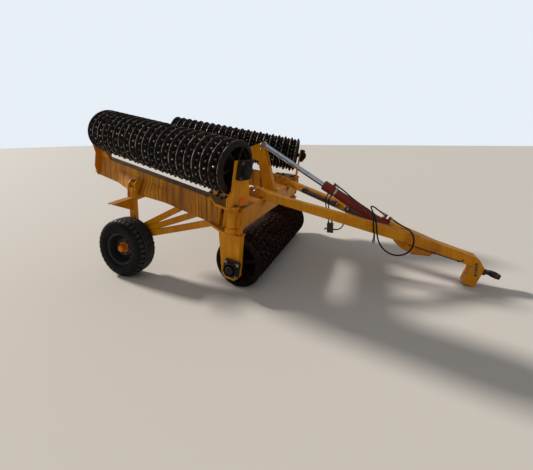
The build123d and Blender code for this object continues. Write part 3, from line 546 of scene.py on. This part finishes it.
for part in frame["record"]["subparts"]:
    mesh = nodes[part["node"]].data
    mesh.materials.clear()
    mesh.materials.append(finish_of(part["material_slot"]))
for line in hose_objects.values():
    line.data.materials.append(finish_of("hose_rubber"))
nodes["stop_valve"].data.materials[0] = finishes["valve_black"]
for side_name, side in SIDES:
    nodes[f"{side_name}_wing_beam"].data.materials[0] = finishes["streaked_paint"]

# %% [markdown]
# ## Shapes as whole arrays
# Every surface below is a grid of points computed at once from a formula, then copied to its
# places by adding or rotating whole arrays. A shape is a pair: points (N x 3, millimetres) and
# faces (M x 4, with the last corner repeated where a face is a triangle).

# %% Shape tools
rng = np.random.default_rng(4)
# A bolt stands along -Y, and these turn it to stand along +X, -X and +Z. FACING_REAR also lays what
# was turned about +Y on the ram's line.
STILL = np.eye(3)
FACING_FRONT, FACING_REAR = about_z(90), about_z(-90)
FACING_UP = np.array([[1, 0, 0], [0, 0, 1], [0, -1, 0]])
SIXTHS = np.array([about_y(angle) for angle in range(0, 360, 60)])


def grid(points, wrap_first, wrap_second):
    """A sheet of quads over a (rows, columns, 3) array of points, closed round either way if asked."""
    rows, columns = points.shape[:2]
    row = np.arange(rows if wrap_first else rows - 1)
    column = np.arange(columns if wrap_second else columns - 1)
    r, c = np.meshgrid(row, column, indexing="ij")
    r_next, c_next = (r + 1) % rows, (c + 1) % columns
    corners = [r * columns + c, r * columns + c_next, r_next * columns + c_next, r_next * columns + c]
    return points.reshape(-1, 3), np.stack(corners, -1).reshape(-1, 4)


def full_turn(steps):
    """Evenly spaced angles round a full turn, as a column."""
    return np.linspace(0, 2 * np.pi, steps, endpoint=False)[:, None]


def round_y(radius, along, angle):
    """Points from arrays that fit together: a radius from Y, a place along it and an angle round it."""
    return np.stack(np.broadcast_arrays(radius * np.cos(angle), along, radius * np.sin(angle)), -1)


def turned(profile, steps, closed=True):
    """A surface turned about Y: every (radius, y) of the profile swept round."""
    radius, along = np.asarray(profile, float).T
    return grid(round_y(radius, along, full_turn(steps)), True, closed)


def gathered(*shapes):
    """Several shapes as one: their points in a row, their faces renumbered."""
    starts = np.cumsum([0] + [len(points) for points, _ in shapes[:-1]])
    return (np.concatenate([points for points, _ in shapes]),
            np.concatenate([faces + start for (_, faces), start in zip(shapes, starts)]))


def copied(shape, turns, moves):
    """The shape at many places: point @ turn.T + move for each move, all in one product. There is a
    turn for each move, or one for all."""
    points, faces = shape
    moves = np.asarray(moves, float)
    turns = np.broadcast_to(np.asarray(turns, float), (len(moves), 3, 3))
    many = np.einsum("kij,nj->kni", turns, points) + moves[:, None, :]
    steps = np.arange(len(many))[:, None, None] * len(points)
    return many.reshape(-1, 3), (faces[None] + steps).reshape(-1, 4)


def moved(shape, turn=None, move=(0, 0, 0)):
    """The shape turned, if asked, and then moved."""
    points, faces = shape
    if turn is not None:
        points = points @ np.asarray(turn).T
    return points + np.asarray(move, float), faces


def block(low, high, chamfer):
    """A box with a small chamfer: three slices of eight-sided outline, capped at both ends."""
    low, high = np.asarray(low, float), np.asarray(high, float)
    x0, y0, z0 = low
    x1, y1, z1 = high
    c = min(chamfer, *((high - low) / 2.5))

    def outline(inset, z):
        a, b = inset, inset + c
        return [(x0 + b, y0 + a, z), (x1 - b, y0 + a, z), (x1 - a, y0 + b, z), (x1 - a, y1 - b, z),
                (x1 - b, y1 - a, z), (x0 + b, y1 - a, z), (x0 + a, y1 - b, z), (x0 + a, y0 + b, z)]

    rows = np.array([outline(c, z0), outline(0, z0 + c), outline(0, z1 - c), outline(c, z1)])
    points, faces = grid(rows, False, True)
    low_cap = np.array([(i, 7 - i, 6 - i, i + 1) for i in range(3)])
    high_cap = low_cap[:, [0, 3, 2, 1]] + 3 * 8
    return points, np.concatenate([faces, low_cap, high_cap])


def rod(radius, length, steps):
    """A round bar from y 0 to y length, its rims chamfered, closed to a point at the ends' middles."""
    c = min(1.5, radius / 2, length / 3)
    return turned([(0.01, 0), (radius - c, 0), (radius, c), (radius, length - c), (radius - c, length),
                   (0.01, length)], steps, False)


def bolt(size, washer=True):
    """A hexagon head on a washer with the stud's end in the middle, standing along -Y from y 0."""
    high = 0.62 * size
    head = turned([(0.01, -high), (0.44 * size, -high), (0.56 * size, -high + 0.1 * size),
                   (0.577 * size, 0)], 6, False)
    stud = turned([(0.01, -1.25 * high), (0.20 * size, -1.25 * high), (0.26 * size, -1.1 * high),
                   (0.26 * size, -high)], 12, False)
    if not washer:
        return gathered(head, stud)
    ring = turned([(0.01, -0.12 * size), (0.82 * size, -0.12 * size), (0.86 * size, 0.0)], 20, False)
    return moved(gathered(head, stud, ring), None, (0, -0.1 * size, 0))


def tube(line, radius, steps):
    """A thin tube along a line of points: a ring of points round each, square to the local direction."""
    line = np.asarray(line, float)
    heading = np.gradient(line, axis=0)
    heading /= np.linalg.norm(heading, axis=1, keepdims=True)
    side = np.cross(heading, (0.05, 0.02, 1.0))
    side /= np.linalg.norm(side, axis=1, keepdims=True)
    other = np.cross(heading, side)
    angle = full_turn(steps)
    radius = np.broadcast_to(radius, len(line))[:, None, None]
    rings = line[:, None] + radius * (np.cos(angle) * side[:, None] + np.sin(angle) * other[:, None])
    return grid(rings, False, True)


def welds(runs):
    """Weld beads as one shape. A run is a start, an end and a radius, which ripples along the bead."""
    beads = []
    for start, end, radius in runs:
        start, end = np.asarray(start, float), np.asarray(end, float)
        count = max(6, int(np.linalg.norm(end - start) / 5))
        part = np.linspace(0, 1, count)[:, None]
        ripple = 0.82 + 0.18 * np.sin(np.arange(count) * 2.1) + 0.08 * rng.standard_normal(count)
        beads.append(tube(start + (end - start) * part, radius * ripple, 6))
    return gathered(*beads)


def piece(name, shape, place, body, slot, finish=None, stands_for=(), attributes=None, side=1):
    """A mesh object from a shape whose points go through place(), riding on a body. Its finish is its
    slot's own, unless another is named. On the left side, -1, the points are mirrored, and the faces
    are turned round to look outward again."""
    points, faces = shape
    points = place(points) * (1, side, 1)
    keep = np.ones(faces.shape, bool)
    keep[:, 3] = faces[:, 2] != faces[:, 3]
    totals = keep.sum(axis=1)
    corners = faces[:, ::side][keep[:, ::side]]
    mesh = bpy.data.meshes.new(name)
    mesh.vertices.add(len(points))
    mesh.vertices.foreach_set("co", points.astype(np.float32).ravel())
    mesh.loops.add(len(corners))
    mesh.loops.foreach_set("vertex_index", corners.astype(np.int32))
    mesh.polygons.add(len(faces))
    mesh.polygons.foreach_set("loop_start", (np.cumsum(totals) - totals).astype(np.int32))
    mesh.update(calc_edges=True)
    mesh.validate()
    for key_name, values in (attributes or {}).items():
        layer = mesh.attributes.new(key_name, "FLOAT", "POINT")
        layer.data.foreach_set("value", np.asarray(values, np.float32))
    mesh.shade_smooth()
    mesh.set_sharp_from_angle(angle=np.radians(32))
    mesh.materials.append(finishes[finish] if finish else finish_of(slot))
    made = new_object(name, mesh)
    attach(made, body)
    if stands_for:
        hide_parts(*stands_for)
    print(name, "faces", len(mesh.polygons))
    return made


# %% [markdown]
# ## Ring gangs
# A gang is a row of smooth Cambridge rings with a toothed breaker ring in each space between
# them. A smooth ring is turned from a profile with a rounded crest. A breaker ring is a formula
# that makes each tooth a blunt pyramid. Every ring turns freely on the shaft, so each gets its own
# random turn.

# %% Ring gangs
RING_PITCH, TEETH = 120.0, 24
TIP, ROOT, BORE, TOOTH_HALF = 302.0, 256.0, 236.0, 25.0
HANG = 18.0  # a breaker ring's bore is larger than the shaft, so a raised one hangs this much low
WING_RINGS, CENTRE_RINGS = 21, 18
WING_ROLL_IN, WING_ROLL_Z, WING_ROLL_START = 40.0, 1470.0, 45.0


def smooth_ring():
    """One rim and the polish on it: 1 on the crest, fading down the flanks."""
    half = [(BORE, 29.5), (250, 29.8), (260, 28.5), (268, 25), (280, 18), (291, 11.5), (299, 6.2),
            (303, 3.2)]
    profile = [(r, -y) for r, y in half] + [(304.6, 0)] + [(r, y) for r, y in reversed(half)]
    shape = turned(profile, 112)
    radius = np.hypot(shape[0][:, 0], shape[0][:, 2])
    return shape, np.clip((radius - 301) / 3.6, 0, 1)


def breaker_ring():
    """Radius = root + (tip - root) * (1 - t^1.5) * (1 - 0.8 v^2): t is the distance from the tooth's
    middle as a part of half a tooth, v the distance from the ring's middle plane as a part of its
    half width. The tip is cut off just below the top, which leaves a small flat."""
    angle = full_turn(TEETH * 8)
    t = 1 - np.abs((angle * TEETH / (2 * np.pi)) % 1 - 0.5) * 2
    v = np.array([-1, -0.86, -0.6, -0.36, -0.16, 0.16, 0.36, 0.6, 0.86, 1])
    height = (1 - t ** 1.5) * (1 - 0.8 * v ** 2)
    radius = np.minimum(ROOT - 6 + (TIP + 4 - ROOT + 6) * height, TIP)
    radius = np.where(np.abs(v) > 0.95, np.minimum(radius, ROOT - 10), radius)
    outside = round_y(radius, v * TOOTH_HALF, angle)
    inside = round_y(BORE, np.array([TOOTH_HALF, -TOOTH_HALF]), angle)
    shape = grid(np.concatenate([outside, inside], 1), True, True)
    polish = np.concatenate([np.clip((radius - TIP + 5) / 4, 0, 1), np.zeros((len(angle), 2))], 1)
    return shape, polish.ravel()


def spoked_wheel():
    """What holds one rim: a hub and six spokes that widen at both ends."""
    hub = turned([(40, -34), (62, -34), (66, -28), (66, 28), (62, 34), (40, 34)], 28)
    sections = [(60, 26, 15), (95, 17, 11), (160, 15, 9), (210, 18, 11), (240, 28, 15)]
    reach, wide, thick = np.array(sections, float).T[:, :, None]
    rim = [(-1, -0.7), (-0.7, -1), (0.7, -1), (1, -0.7), (1, 0.7), (0.7, 1), (-0.7, 1), (-1, 0.7)]
    rim_wide, rim_thick = np.array(rim).T
    spoke = np.stack([np.repeat(reach, len(rim), 1), thick * rim_thick, wide * rim_wide], -1)
    return gathered(hub, copied(grid(spoke[:, ::-1], False, True), SIXTHS, np.zeros((6, 3))))


def ring_gang(count, hang):
    """All the rings of a gang along Y, centred, and the polish at every point."""
    rim, rim_polish = smooth_ring()
    teeth, teeth_polish = breaker_ring()
    wheel = spoked_wheel()
    middles = (np.arange(count) - (count - 1) / 2) * RING_PITCH
    spots = np.outer(middles, (0, 1, 0))
    spots_between = np.outer((middles[1:] + middles[:-1]) / 2, (0, 1, 0)) - (0, 0, hang)
    spin = np.array([about_y(angle) for angle in rng.uniform(0, 360, count)])
    spin_between = np.array([about_y(angle) for angle in rng.uniform(0, 360, count - 1)])
    shape = gathered(copied(rim, spin, spots), copied(wheel, spin, spots),
                     copied(teeth, spin_between, spots_between))
    polish = np.concatenate([np.tile(rim_polish, count), np.zeros(len(wheel[0]) * count),
                             np.tile(teeth_polish, count - 1)])
    return shape, polish


wing_roll_x = -WING_ROLL_START - ((WING_RINGS - 1) * RING_PITCH + 60) / 2
wing_rings, wing_polish = ring_gang(WING_RINGS, HANG)
wing_rings = moved(wing_rings, FACING_REAR, (wing_roll_x, WING_ROLL_IN, WING_ROLL_Z))
centre_rings, centre_polish = ring_gang(CENTRE_RINGS, 0.0)
centre_rings = moved(centre_rings, None, (ROLL_X, 0, RING_RADIUS))
piece("centre_ring_gang", centre_rings, in_frame, "centre_roll", "ring_iron", "rust_and_shade_iron",
      ["centre_rings"], {"ridge": centre_polish})
for side_name, side in SIDES:
    piece(f"{side_name}_ring_gang", wing_rings, in_wing, f"{side_name}_roll", "ring_iron", None,
          [f"{side_name}_rings"], {"ridge": wing_polish}, side)

# %% [markdown]
# ## Tyres
# A tyre is one grid, round its axle and across its section. Its tread is a depth taken off the
# radius: two zigzag grooves round the middle, and straight cuts across each shoulder that leave
# a row of blocks. Raised lines run round the walls.

# %% Tyres
TYRE_HALF, TREAD_HALF, WALL_ENDS = 131.0, 84.0, 330.0
SHOULDER_BLOCKS = 34
BLOCK_PITCH = 2 * np.pi * TYRE_RADIUS / SHOULDER_BLOCKS
GROOVE_DEPTH, LINE_HEIGHT = 11.0, 1.6
WHEEL_BOLT_CIRCLE, RIM_SEAT = 86.0, 194.0


def fade(distance, half_width, soft):
    """1 inside half_width, 0 beyond it, with a slope of the given softness."""
    return np.clip((half_width + soft - np.abs(distance)) / soft, 0, 1)


def tyre_shape():
    """Radius = section radius - depth(angle, across). The section runs round from bead to bead. Also
    says where the worn, dusty tops of the tread are."""
    wall = np.array([(196, -96), (199, -104), (208, -109), (222, -118), (240, -126), (262, -130.5),
                     (290, -130.5), (318, -129), (340, -123), (356, -116), (366, -108), (372, -98),
                     (376, -87)])
    across_tread = np.linspace(-TREAD_HALF, TREAD_HALF, 43)
    crown = np.column_stack([TYRE_RADIUS - 0.00062 * across_tread ** 2, across_tread])
    radius, across = np.concatenate([wall, crown, wall[::-1] * (1, -1)]).T
    angle = full_turn(SHOULDER_BLOCKS * 16)
    step = angle * SHOULDER_BLOCKS / (2 * np.pi)
    zigzag = 6 * (np.abs(step % 1 - 0.5) * 4 - 1)
    rounds = np.maximum(fade(across - 24 - zigzag, 3.2, 2.0), fade(across + 24 + zigzag, 3.2, 2.0))
    rounds = np.maximum(rounds, fade(np.abs(across) - 66 - 0.5 * zigzag * np.sign(across), 3.4, 2.0))
    cut = fade(((step + 0.25 * np.sign(across)) % 1 - 0.5) * BLOCK_PITCH, 6.5, 3.0)
    shoulder = cut * np.clip((np.abs(across) - 62) / 4, 0, 1) * np.clip((radius - WALL_ENDS) / 30, 0, 1)
    sipe = 0.45 * fade(((step + 0.5) % 1 - 0.5) * BLOCK_PITCH, 1.2, 1.5) * (np.abs(across) < 20)
    depth = GROOVE_DEPTH * np.maximum(np.maximum(rounds, shoulder), sipe)
    lines = fade(radius - 232, 2, 4) + fade(radius - 300, 2, 5) + fade(radius - 308, 1, 4)
    lines = LINE_HEIGHT * lines * (np.abs(across) > 100) * (np.abs(across) < 130)
    cut_radius = radius - depth * (radius > WALL_ENDS)
    points = round_y(cut_radius, across + np.sign(across) * lines, angle)
    worn = np.clip(1 - depth / 2, 0, 1) * np.clip((radius - 350) / 12, 0, 1)
    return grid(points, True, False), worn.ravel()


def at_wheel(points):
    """From the right wheel's axes: about its middle, with y inboard."""
    return on_ground(points + (WHEEL_X, -WHEEL_Y, TYRE_RADIUS))


tread, wear = tyre_shape()
wheel_nuts = moved(copied(bolt(24), SIXTHS, SIXTHS @ (WHEEL_BOLT_CIRCLE, 0, 0)), None,
                   (0, -TYRE_HALF + 84, 0))
lip = np.array([(-9, 26), (1, 20), (9, 14), (16, 17), (17, 22), (10, 26)]) + (RIM_SEAT, -TYRE_HALF)
rim_lips = gathered(turned(lip, 96), turned(lip[::-1] * (1, -1), 96))
valve_stem = gathered(moved(rod(5, 34, 12), about_z(12), (0, -TYRE_HALF + 60, 150)),
                      moved(rod(7, 12, 12), about_z(12), (-6, -TYRE_HALF + 56, 150)))
for side_name, side in SIDES:
    wheel = f"{side_name}_wheel"
    piece(f"{side_name}_tyre_tread", tread, at_wheel, wheel, "tyre_rubber", None, [f"{side_name}_tyre"],
          {"worn": wear}, side)
    piece(f"{side_name}_wheel_nuts", wheel_nuts, at_wheel, wheel, "shaft_steel", side=side)
    piece(f"{side_name}_rim_lips", rim_lips, at_wheel, wheel, "rim_paint", "rim_edge", side=side)
    piece(f"{side_name}_valve_stem", valve_stem, at_wheel, wheel, "tyre_rubber", side=side)

# %% [markdown]
# ## Bearings and plates
# The bearings' studs, caps and grease nipples, the bolts on each wing's hinge lug, the reflector
# and the slot on each front plate, and the welds that hold the box sections together. Each is set
# against the solid that carries it.

# %% Bearings and plates
LEG_OUTER, BEARING_DEEP, CAP_DEEP = 1168.0, 46.0, 34.0
LEG_STUD, WING_STUD = 74.0, 82.0  # half the distance between two studs
BEAM_OUT, BEAM_DEPTH, BEAM_LOW, BEAM_HIGH, BEAM_END = 34.0, 150.0, 755.0, 1042.0, 2660.0
FRONT_FACE, REAR_PLATE = 20.0, 20.0
LUG_TOP, LUG_END = BEAM_HIGH + 25, -425.0


def four_corners(middle, reach, axes):
    """Four points round a middle, reach away along each of two axes."""
    spots = np.tile(np.asarray(middle, float), (4, 1))
    spots[:, axes] += reach * np.array([(-1, -1), (-1, 1), (1, -1), (1, 1)])
    return spots


# A grease nipple: a hexagon, a neck and a ball, standing along -Y.
nipple = turned([(0.01, -20), (2.4, -20), (3.4, -17), (2.2, -14), (2.4, -9), (6, -8), (6, 0)], 8, False)
leg_face = (ROLL_X, -LEG_OUTER - BEARING_DEEP, RING_RADIUS)
leg_studs = gathered(copied(bolt(24), STILL, four_corners(leg_face, LEG_STUD, [0, 2])),
                     moved(nipple, None, np.add(leg_face, (40, 0, 84))))
leg_cap_steps = [(0.01, -24), (30, -24), (44, -20), (50, -12), (50, 0), (76, 0), (80, 5), (80, 9)]
leg_cap = moved(turned(leg_cap_steps, 40, False), None, np.add(leg_face, (0, -CAP_DEEP, 0)))

front_bearing = (FRONT_FACE + BEARING_DEEP, WING_ROLL_IN, WING_ROLL_Z)
rear_bearing = (-BEAM_END - REAR_PLATE - BEARING_DEEP, WING_ROLL_IN, WING_ROLL_Z)
bearings = ((front_bearing, FACING_FRONT, CAP_DEEP), (rear_bearing, FACING_REAR, -CAP_DEEP))
roll_studs = gathered(
    *[copied(bolt(26), turn, four_corners(face, WING_STUD, [1, 2])) for face, turn, _ in bearings],
    moved(nipple, FACING_FRONT, np.add(front_bearing, (0, 30, 88))))
roll_cap = turned([(0.01, -20), (32, -20), (42, -14), (46, -2), (58, 0), (62, 0)], 40, False)
roll_caps = gathered(*[moved(roll_cap, turn, np.add(face, (out, 0, 0))) for face, turn, out in bearings])

lug_spots = [(-60, 120), (-60, 200), (-230, 70), (-230, 150), (-330, 110)]
pin_cap = turned([(0.01, -16), (30, -16), (40, -8), (40, 0)], 32, False)
hinge_bolts = gathered(copied(bolt(30), FACING_UP, [(x, y, LUG_TOP) for x, y in lug_spots]),
                       moved(pin_cap, FACING_UP, (0, 0, LUG_TOP)),
                       moved(bolt(24), FACING_UP, (0, 0, LUG_TOP + 16)))
reflector = block((FRONT_FACE, 66, 1072), (FRONT_FACE + 8, 166, 1140), 3)
plate_slot = block((FRONT_FACE - 1, 47, 1290), (FRONT_FACE + 2.5, 61, 1322), 1)
wing_welds = welds([
    ((LUG_END, BEAM_OUT, BEAM_LOW + 4), (LUG_END, BEAM_OUT, BEAM_HIGH - 4), 4.5),
    ((LUG_END, BEAM_OUT + 6, BEAM_HIGH), (LUG_END, BEAM_OUT + BEAM_DEPTH - 6, BEAM_HIGH), 4.5),
    *[((x, -100, LUG_TOP + 1), (x, 240, LUG_TOP + 1), 6) for x in (0, FRONT_FACE)],
    ((-BEAM_END, -34, BEAM_LOW + 60), (-BEAM_END, 34, BEAM_LOW + 6), 5),
    ((-BEAM_END + 2, BEAM_OUT, BEAM_LOW + 8), (-BEAM_END + 2, BEAM_OUT, BEAM_HIGH), 6),
    ((-BEAM_END + 4, BEAM_OUT, BEAM_HIGH + 2), (-BEAM_END + 244, BEAM_OUT, BEAM_HIGH + 2), 5),
    ((-195, BEAM_OUT + 2, BEAM_LOW + 4), (-195, BEAM_OUT + 2, BEAM_HIGH - 4), 5)])
frame_welds = welds([
    ((-126, -LEG_OUTER - 2, 692), (98, -LEG_OUTER - 2, 692), 5),
    ((-140, -LEG_OUTER + 4, 706), (80, -LEG_OUTER + 4, 706), 5),
    ((75, -1160, 766), (75, -1160, 1018), 5),
    *[((x, -1184, 824), (x, -1184, 990), 5) for x in (-14, 14)]])
for side_name, side in SIDES:
    wing = f"{side_name}_wing"
    for name, *row in (
            ("leg_studs", leg_studs, in_frame, "centre_frame", "pin_steel"),
            ("leg_cap", leg_cap, in_frame, "centre_frame", "bearing_iron"),
            ("frame_welds", frame_welds, in_frame, "centre_frame", "paint"),
            ("roll_studs", roll_studs, in_wing, wing, "shaft_steel"),
            ("roll_caps", roll_caps, in_wing, wing, "bearing_iron"),
            ("hinge_bolts", hinge_bolts, in_wing, wing, "shaft_steel"),
            ("reflector", reflector, in_wing, wing, "paint", "orange_lens"),
            ("plate_slot", plate_slot, in_wing, wing, "pin_steel"),
            ("wing_welds", wing_welds, in_wing, wing, "paint")):
        piece(f"{side_name}_{name}", *row, side=side)

# %% [markdown]
# ## Drawbar and ram fittings
# The heads of the hinge pins and of the tower's pin with their keepers, the two hose couplings on
# their plate with a red and a white cap, the collars of the stay tube, the thin pipe under the
# drawbar's head with its welds, hole and slot, and what is turned on the ram's own line: gland,
# wiper, strap and the elbows' nuts.

# %% Drawbar and ram fittings
HINGE_Y = 540.0
ARM_START, ARM_END, ARM_END_Y, ARM_HALF = 140.0, 1960.0, 63.0, 50.0
HEAD_HALF, HEAD_LOW, HEAD_HIGH, NECK_END, NOSE = 70.0, -86.0, 37.0, 2280.0, 2825.0
STAY_RADIUS, STAY_LEVEL = 30.0, -14.0
TOWER_PIN = (-257.0, -74.0, 1652.0)
COUPLING_LINE, BEAM_TOP = -164.0, 1022.0
SLANT = np.arctan2(HINGE_Y - ARM_END_Y, ARM_END - ARM_START)


def stay_point(along):
    """A point of the stay tube's middle line, beside the left arm."""
    beside = ARM_HALF + STAY_RADIUS / np.cos(SLANT)
    return (along, HINGE_Y - (along - ARM_START) * np.tan(SLANT) - beside, STAY_LEVEL)


pin_head = gathered(turned([(0.01, -8), (20, -8), (24, -4), (24, 0)], 32, False),
                    block((-6, -14, -34), (6, -8, 34), 3))
hinge_head = moved(pin_head, None, (-31, -HINGE_Y - 77, 1094))
tower_head = gathered(moved(pin_head, None, TOWER_PIN),
                      moved(bolt(22), None, np.add(TOWER_PIN, (-4, 12, -60))))
stay_rings = gathered(*[tube([stay_point(along + more) for more in (0, 5, 12)], STAY_RADIUS + 2.5, 32)
                        for along in (386, 972, 1091, 1467)])
under_pipe = [(1990, -73, -112), (2020, -76, -101), (2240, -76, -96), (2300, -76, -92), (2560, -76, -80),
              (2590, -74, -62)]
clip_spots = [(2030, -74, -98), (2290, -74, -92), (2550, -74, -80)]
head_pipe = gathered(tube(under_pipe, 5.5, 10),
                     copied(block((-9, -9, -12), (9, 5, 12), 3), STILL, clip_spots))
arm_edge = ARM_END_Y + ARM_HALF + 6
head_welds = welds([
    ((NECK_END, -HEAD_HALF - 1, HEAD_LOW + 4), (NECK_END, -HEAD_HALF - 1, HEAD_HIGH - 3), 5),
    ((2692, -HEAD_HALF, HEAD_LOW - 1), (2818, -HEAD_HALF, HEAD_LOW - 1), 5),
    ((NOSE, -HEAD_HALF + 8, HEAD_LOW - 1), (NOSE, HEAD_HALF - 8, HEAD_LOW - 1), 5),
    ((2711, -HEAD_HALF + 2, HEAD_HIGH), (2773, -HEAD_HALF + 2, -6), 5),
    ((2692, HEAD_HALF, HEAD_LOW - 1), (2818, HEAD_HALF, HEAD_LOW - 1), 5),
    *[((ARM_END - 30, y, -84), (ARM_END - 30, y, 48), 5) for y in (-arm_edge, arm_edge)]])
# The hole is a shallow disc; its dark colour is painted shade.
head_hole = moved(turned([(0.01, -1.5), (9, -1.5), (10, 0)], 20, False), None, (2593, -HEAD_HALF, -52))
slot_bar = moved(block((-12.6, -HEAD_HALF + 4, -66), (12.6, -HEAD_HALF + 16, 66), 2),
                 about_y(-DRAWBAR_FALL), (2753, 0, -108))
hitch_bolts = copied(bolt(22), FACING_FRONT,
                     [(NOSE + 22, y, z) for y in (-46, 46) for z in (-124, -88)])
for side_name, side in SIDES:
    for name, shape in (("hinge_pin_head", hinge_head), ("tower_pin_head", tower_head)):
        piece(f"{side_name}_{name}", shape, in_frame, "centre_frame", "pin_steel", side=side)

coupling_plate = block((COUPLING_LINE - 12, -476, BEAM_TOP), (COUPLING_LINE, -404, BEAM_TOP + 78), 3)
coupling = turned([(0.01, -46), (11, -46), (13, -42), (13, -18), (17, -16), (17, 0), (15, 0)], 20, False)
coupling_cap = turned([(0.01, -58), (15, -58), (18, -54), (18, -26), (14, -26)], 20, False)
coupling_spots = [(COUPLING_LINE, -458, BEAM_TOP + 52), (COUPLING_LINE, -422, BEAM_TOP + 52)]
couplings = copied(coupling, FACING_FRONT, coupling_spots)
cap_by_red, cap_by_white = [moved(coupling_cap, FACING_FRONT, spot) for spot in coupling_spots]
piece("coupling_plate", coupling_plate, in_frame, "centre_frame", "paint")
piece("quick_couplings", couplings, in_frame, "centre_frame", "pin_steel", "fitting_zinc")
piece("red_coupling_cap", cap_by_red, in_frame, "centre_frame", "ram_paint", "red_cap")
piece("white_coupling_cap", cap_by_white, in_frame, "centre_frame", "pin_steel", "white_cap")
piece("stay_tube_rings", stay_rings, in_drawbar, "drawbar", "tube_black", "pipe_steel")
piece("head_pipe", head_pipe, in_drawbar, "drawbar", "tube_black")
piece("head_welds", head_welds, in_drawbar, "drawbar", "paint")
piece("head_hole", head_hole, in_drawbar, "drawbar", "paint", "painted_shade_hole")
piece("foot_slot_bar", slot_bar, in_drawbar, "drawbar", "pin_steel", "fitting_zinc")
piece("hitch_bolts", hitch_bolts, in_drawbar, "drawbar", "eye_steel", "shaft_steel")

gland_steps = [(36, 1036), (50, 1040), (62, 1043), (69.6, 1040), (69.6, 1028), (67, 1026), (36, 1026)]
barrel_bead = [(69, 900), (70.5, 903), (70.5, 909), (69, 912), (66, 906)]
gland = moved(gathered(turned(gland_steps, 48), turned(barrel_bead, 48)), FACING_REAR)
bolt_angles = np.radians(np.arange(0, 360, 60) + 30)
gland_bolts = copied(bolt(14, False), FACING_FRONT,
                     [(1041, 53 * np.cos(angle), 53 * np.sin(angle)) for angle in bolt_angles])
wiper = moved(turned([(36, 1038), (46, 1038), (44, 1049), (36, 1050)], 40), FACING_REAR)
strap = gathered(moved(turned([(62.3, 846), (64.6, 846), (64.6, 868), (62.3, 868)], 48), FACING_REAR),
                 block((850, -9, 62), (864, 9, 74), 2))
elbow_nut = turned([(0.01, -15), (17, -15), (19, -11), (19, 11), (17, 15), (0.01, 15)], 6, False)
elbow_nuts = gathered(*[moved(elbow_nut, FACING_REAR, (along, 0, above))
                        for along, above in ((894, 92), (68, 124), (176, 124))])
piece("gland_rings", gathered(gland, gland_bolts), on_ram, "ram_barrel", "ram_paint")
piece("rod_wiper", wiper, on_ram, "ram_barrel", "hose_rubber", "tyre_rubber")
piece("barrel_strap", strap, on_ram, "ram_barrel", "pin_steel", "pipe_steel")
piece("elbow_nuts", elbow_nuts, on_ram, "ram_barrel", "pin_steel")

# %% [markdown]
# ## Ends of the hoses
# A crimped ferrule grips each end of a hose. The hose that lies over the arm has a sleeve against
# chafing, held by three bands. The pieces on each hose are gathered in a list.

# %% Ferrules and sleeve
FERRULE_PROFILE = np.array([1.0, 1.36, 1.36, 1.30, 1.36, 1.36, 1.30, 1.36, 1.32, 1.02])
BAND_WIDTH, BAND_STEPS = 12.0, np.array([2.0, 4.6, 4.6, 2.0])
SLEEVE_FROM, SLEEVE_TO = 0.30, 0.47  # parts of the hose's length


def stretch(points, start, length, count=10):
    """A piece of a line as evenly spaced points, from start on, both measured along the line."""
    run = distance_along(points)
    along = np.linspace(start, start + length, count)
    return np.column_stack([np.interp(along, run, points[:, axis]) for axis in range(3)])


def same_place(points):
    """From millimetres in the parked machine's own axes."""
    return points / 1000


def sleeve_on(points, whole, radius):
    """A sleeve over part of a hose, with a band at both its ends and in its middle."""
    sleeve = stretch(points, SLEEVE_FROM * whole, (SLEEVE_TO - SLEEVE_FROM) * whole, 24)
    starts = (SLEEVE_FROM * whole, 0.385 * whole, SLEEVE_TO * whole - BAND_WIDTH)
    bands = [tube(stretch(points, start, BAND_WIDTH, 4), radius + BAND_STEPS, 16) for start in starts]
    return gathered(tube(sleeve, radius + 2.4, 14), *bands)


for hose_name, (thick, far_end, points) in hose_routes.items():
    middle_line = hose_points[hose_name] * 1000
    whole = distance_along(middle_line)[-1]
    radius = thick * 500
    grip = 46.0 if thick > THIN_HOSE else 34.0
    ends = gathered(*[tube(stretch(middle_line, start, grip), FERRULE_PROFILE * radius, 16)
                      for start in (0.0, whole - grip)])
    on_it = [piece(f"{hose_name}_ferrules", ends, same_place, "ram_barrel", "pin_steel", "fitting_zinc")]
    if hose_name == "gland_hose":
        sleeve = sleeve_on(middle_line, whole, radius)
        on_it += [piece("gland_hose_sleeve", sleeve, same_place, "ram_barrel", "hose_rubber", "tube_black"),
                  nodes["gland_coupler"]]
    if hose_name == "front_valve_hose":
        on_it.append(nodes["stop_valve"])

# %% [markdown]
# ## Floor
# A wide pale floor to stand on. It belongs to the stage and not to the machine.

# %% Floor
FLOOR_HALF = 60.0
floor_mesh = bpy.data.meshes.new("floor")
corners = FLOOR_HALF * np.array([(-1, -1, 0), (1, -1, 0), (1, 1, 0), (-1, 1, 0)])
floor_mesh.from_pydata(corners, [], [(0, 1, 2, 3)])
floor = new_object("floor", floor_mesh)
Finish("floor_finish").finish((196, 190, 182), 0.9)
floor_mesh.materials.append(finishes["floor_finish"])
print("floor", 2 * FLOOR_HALF, "m wide")
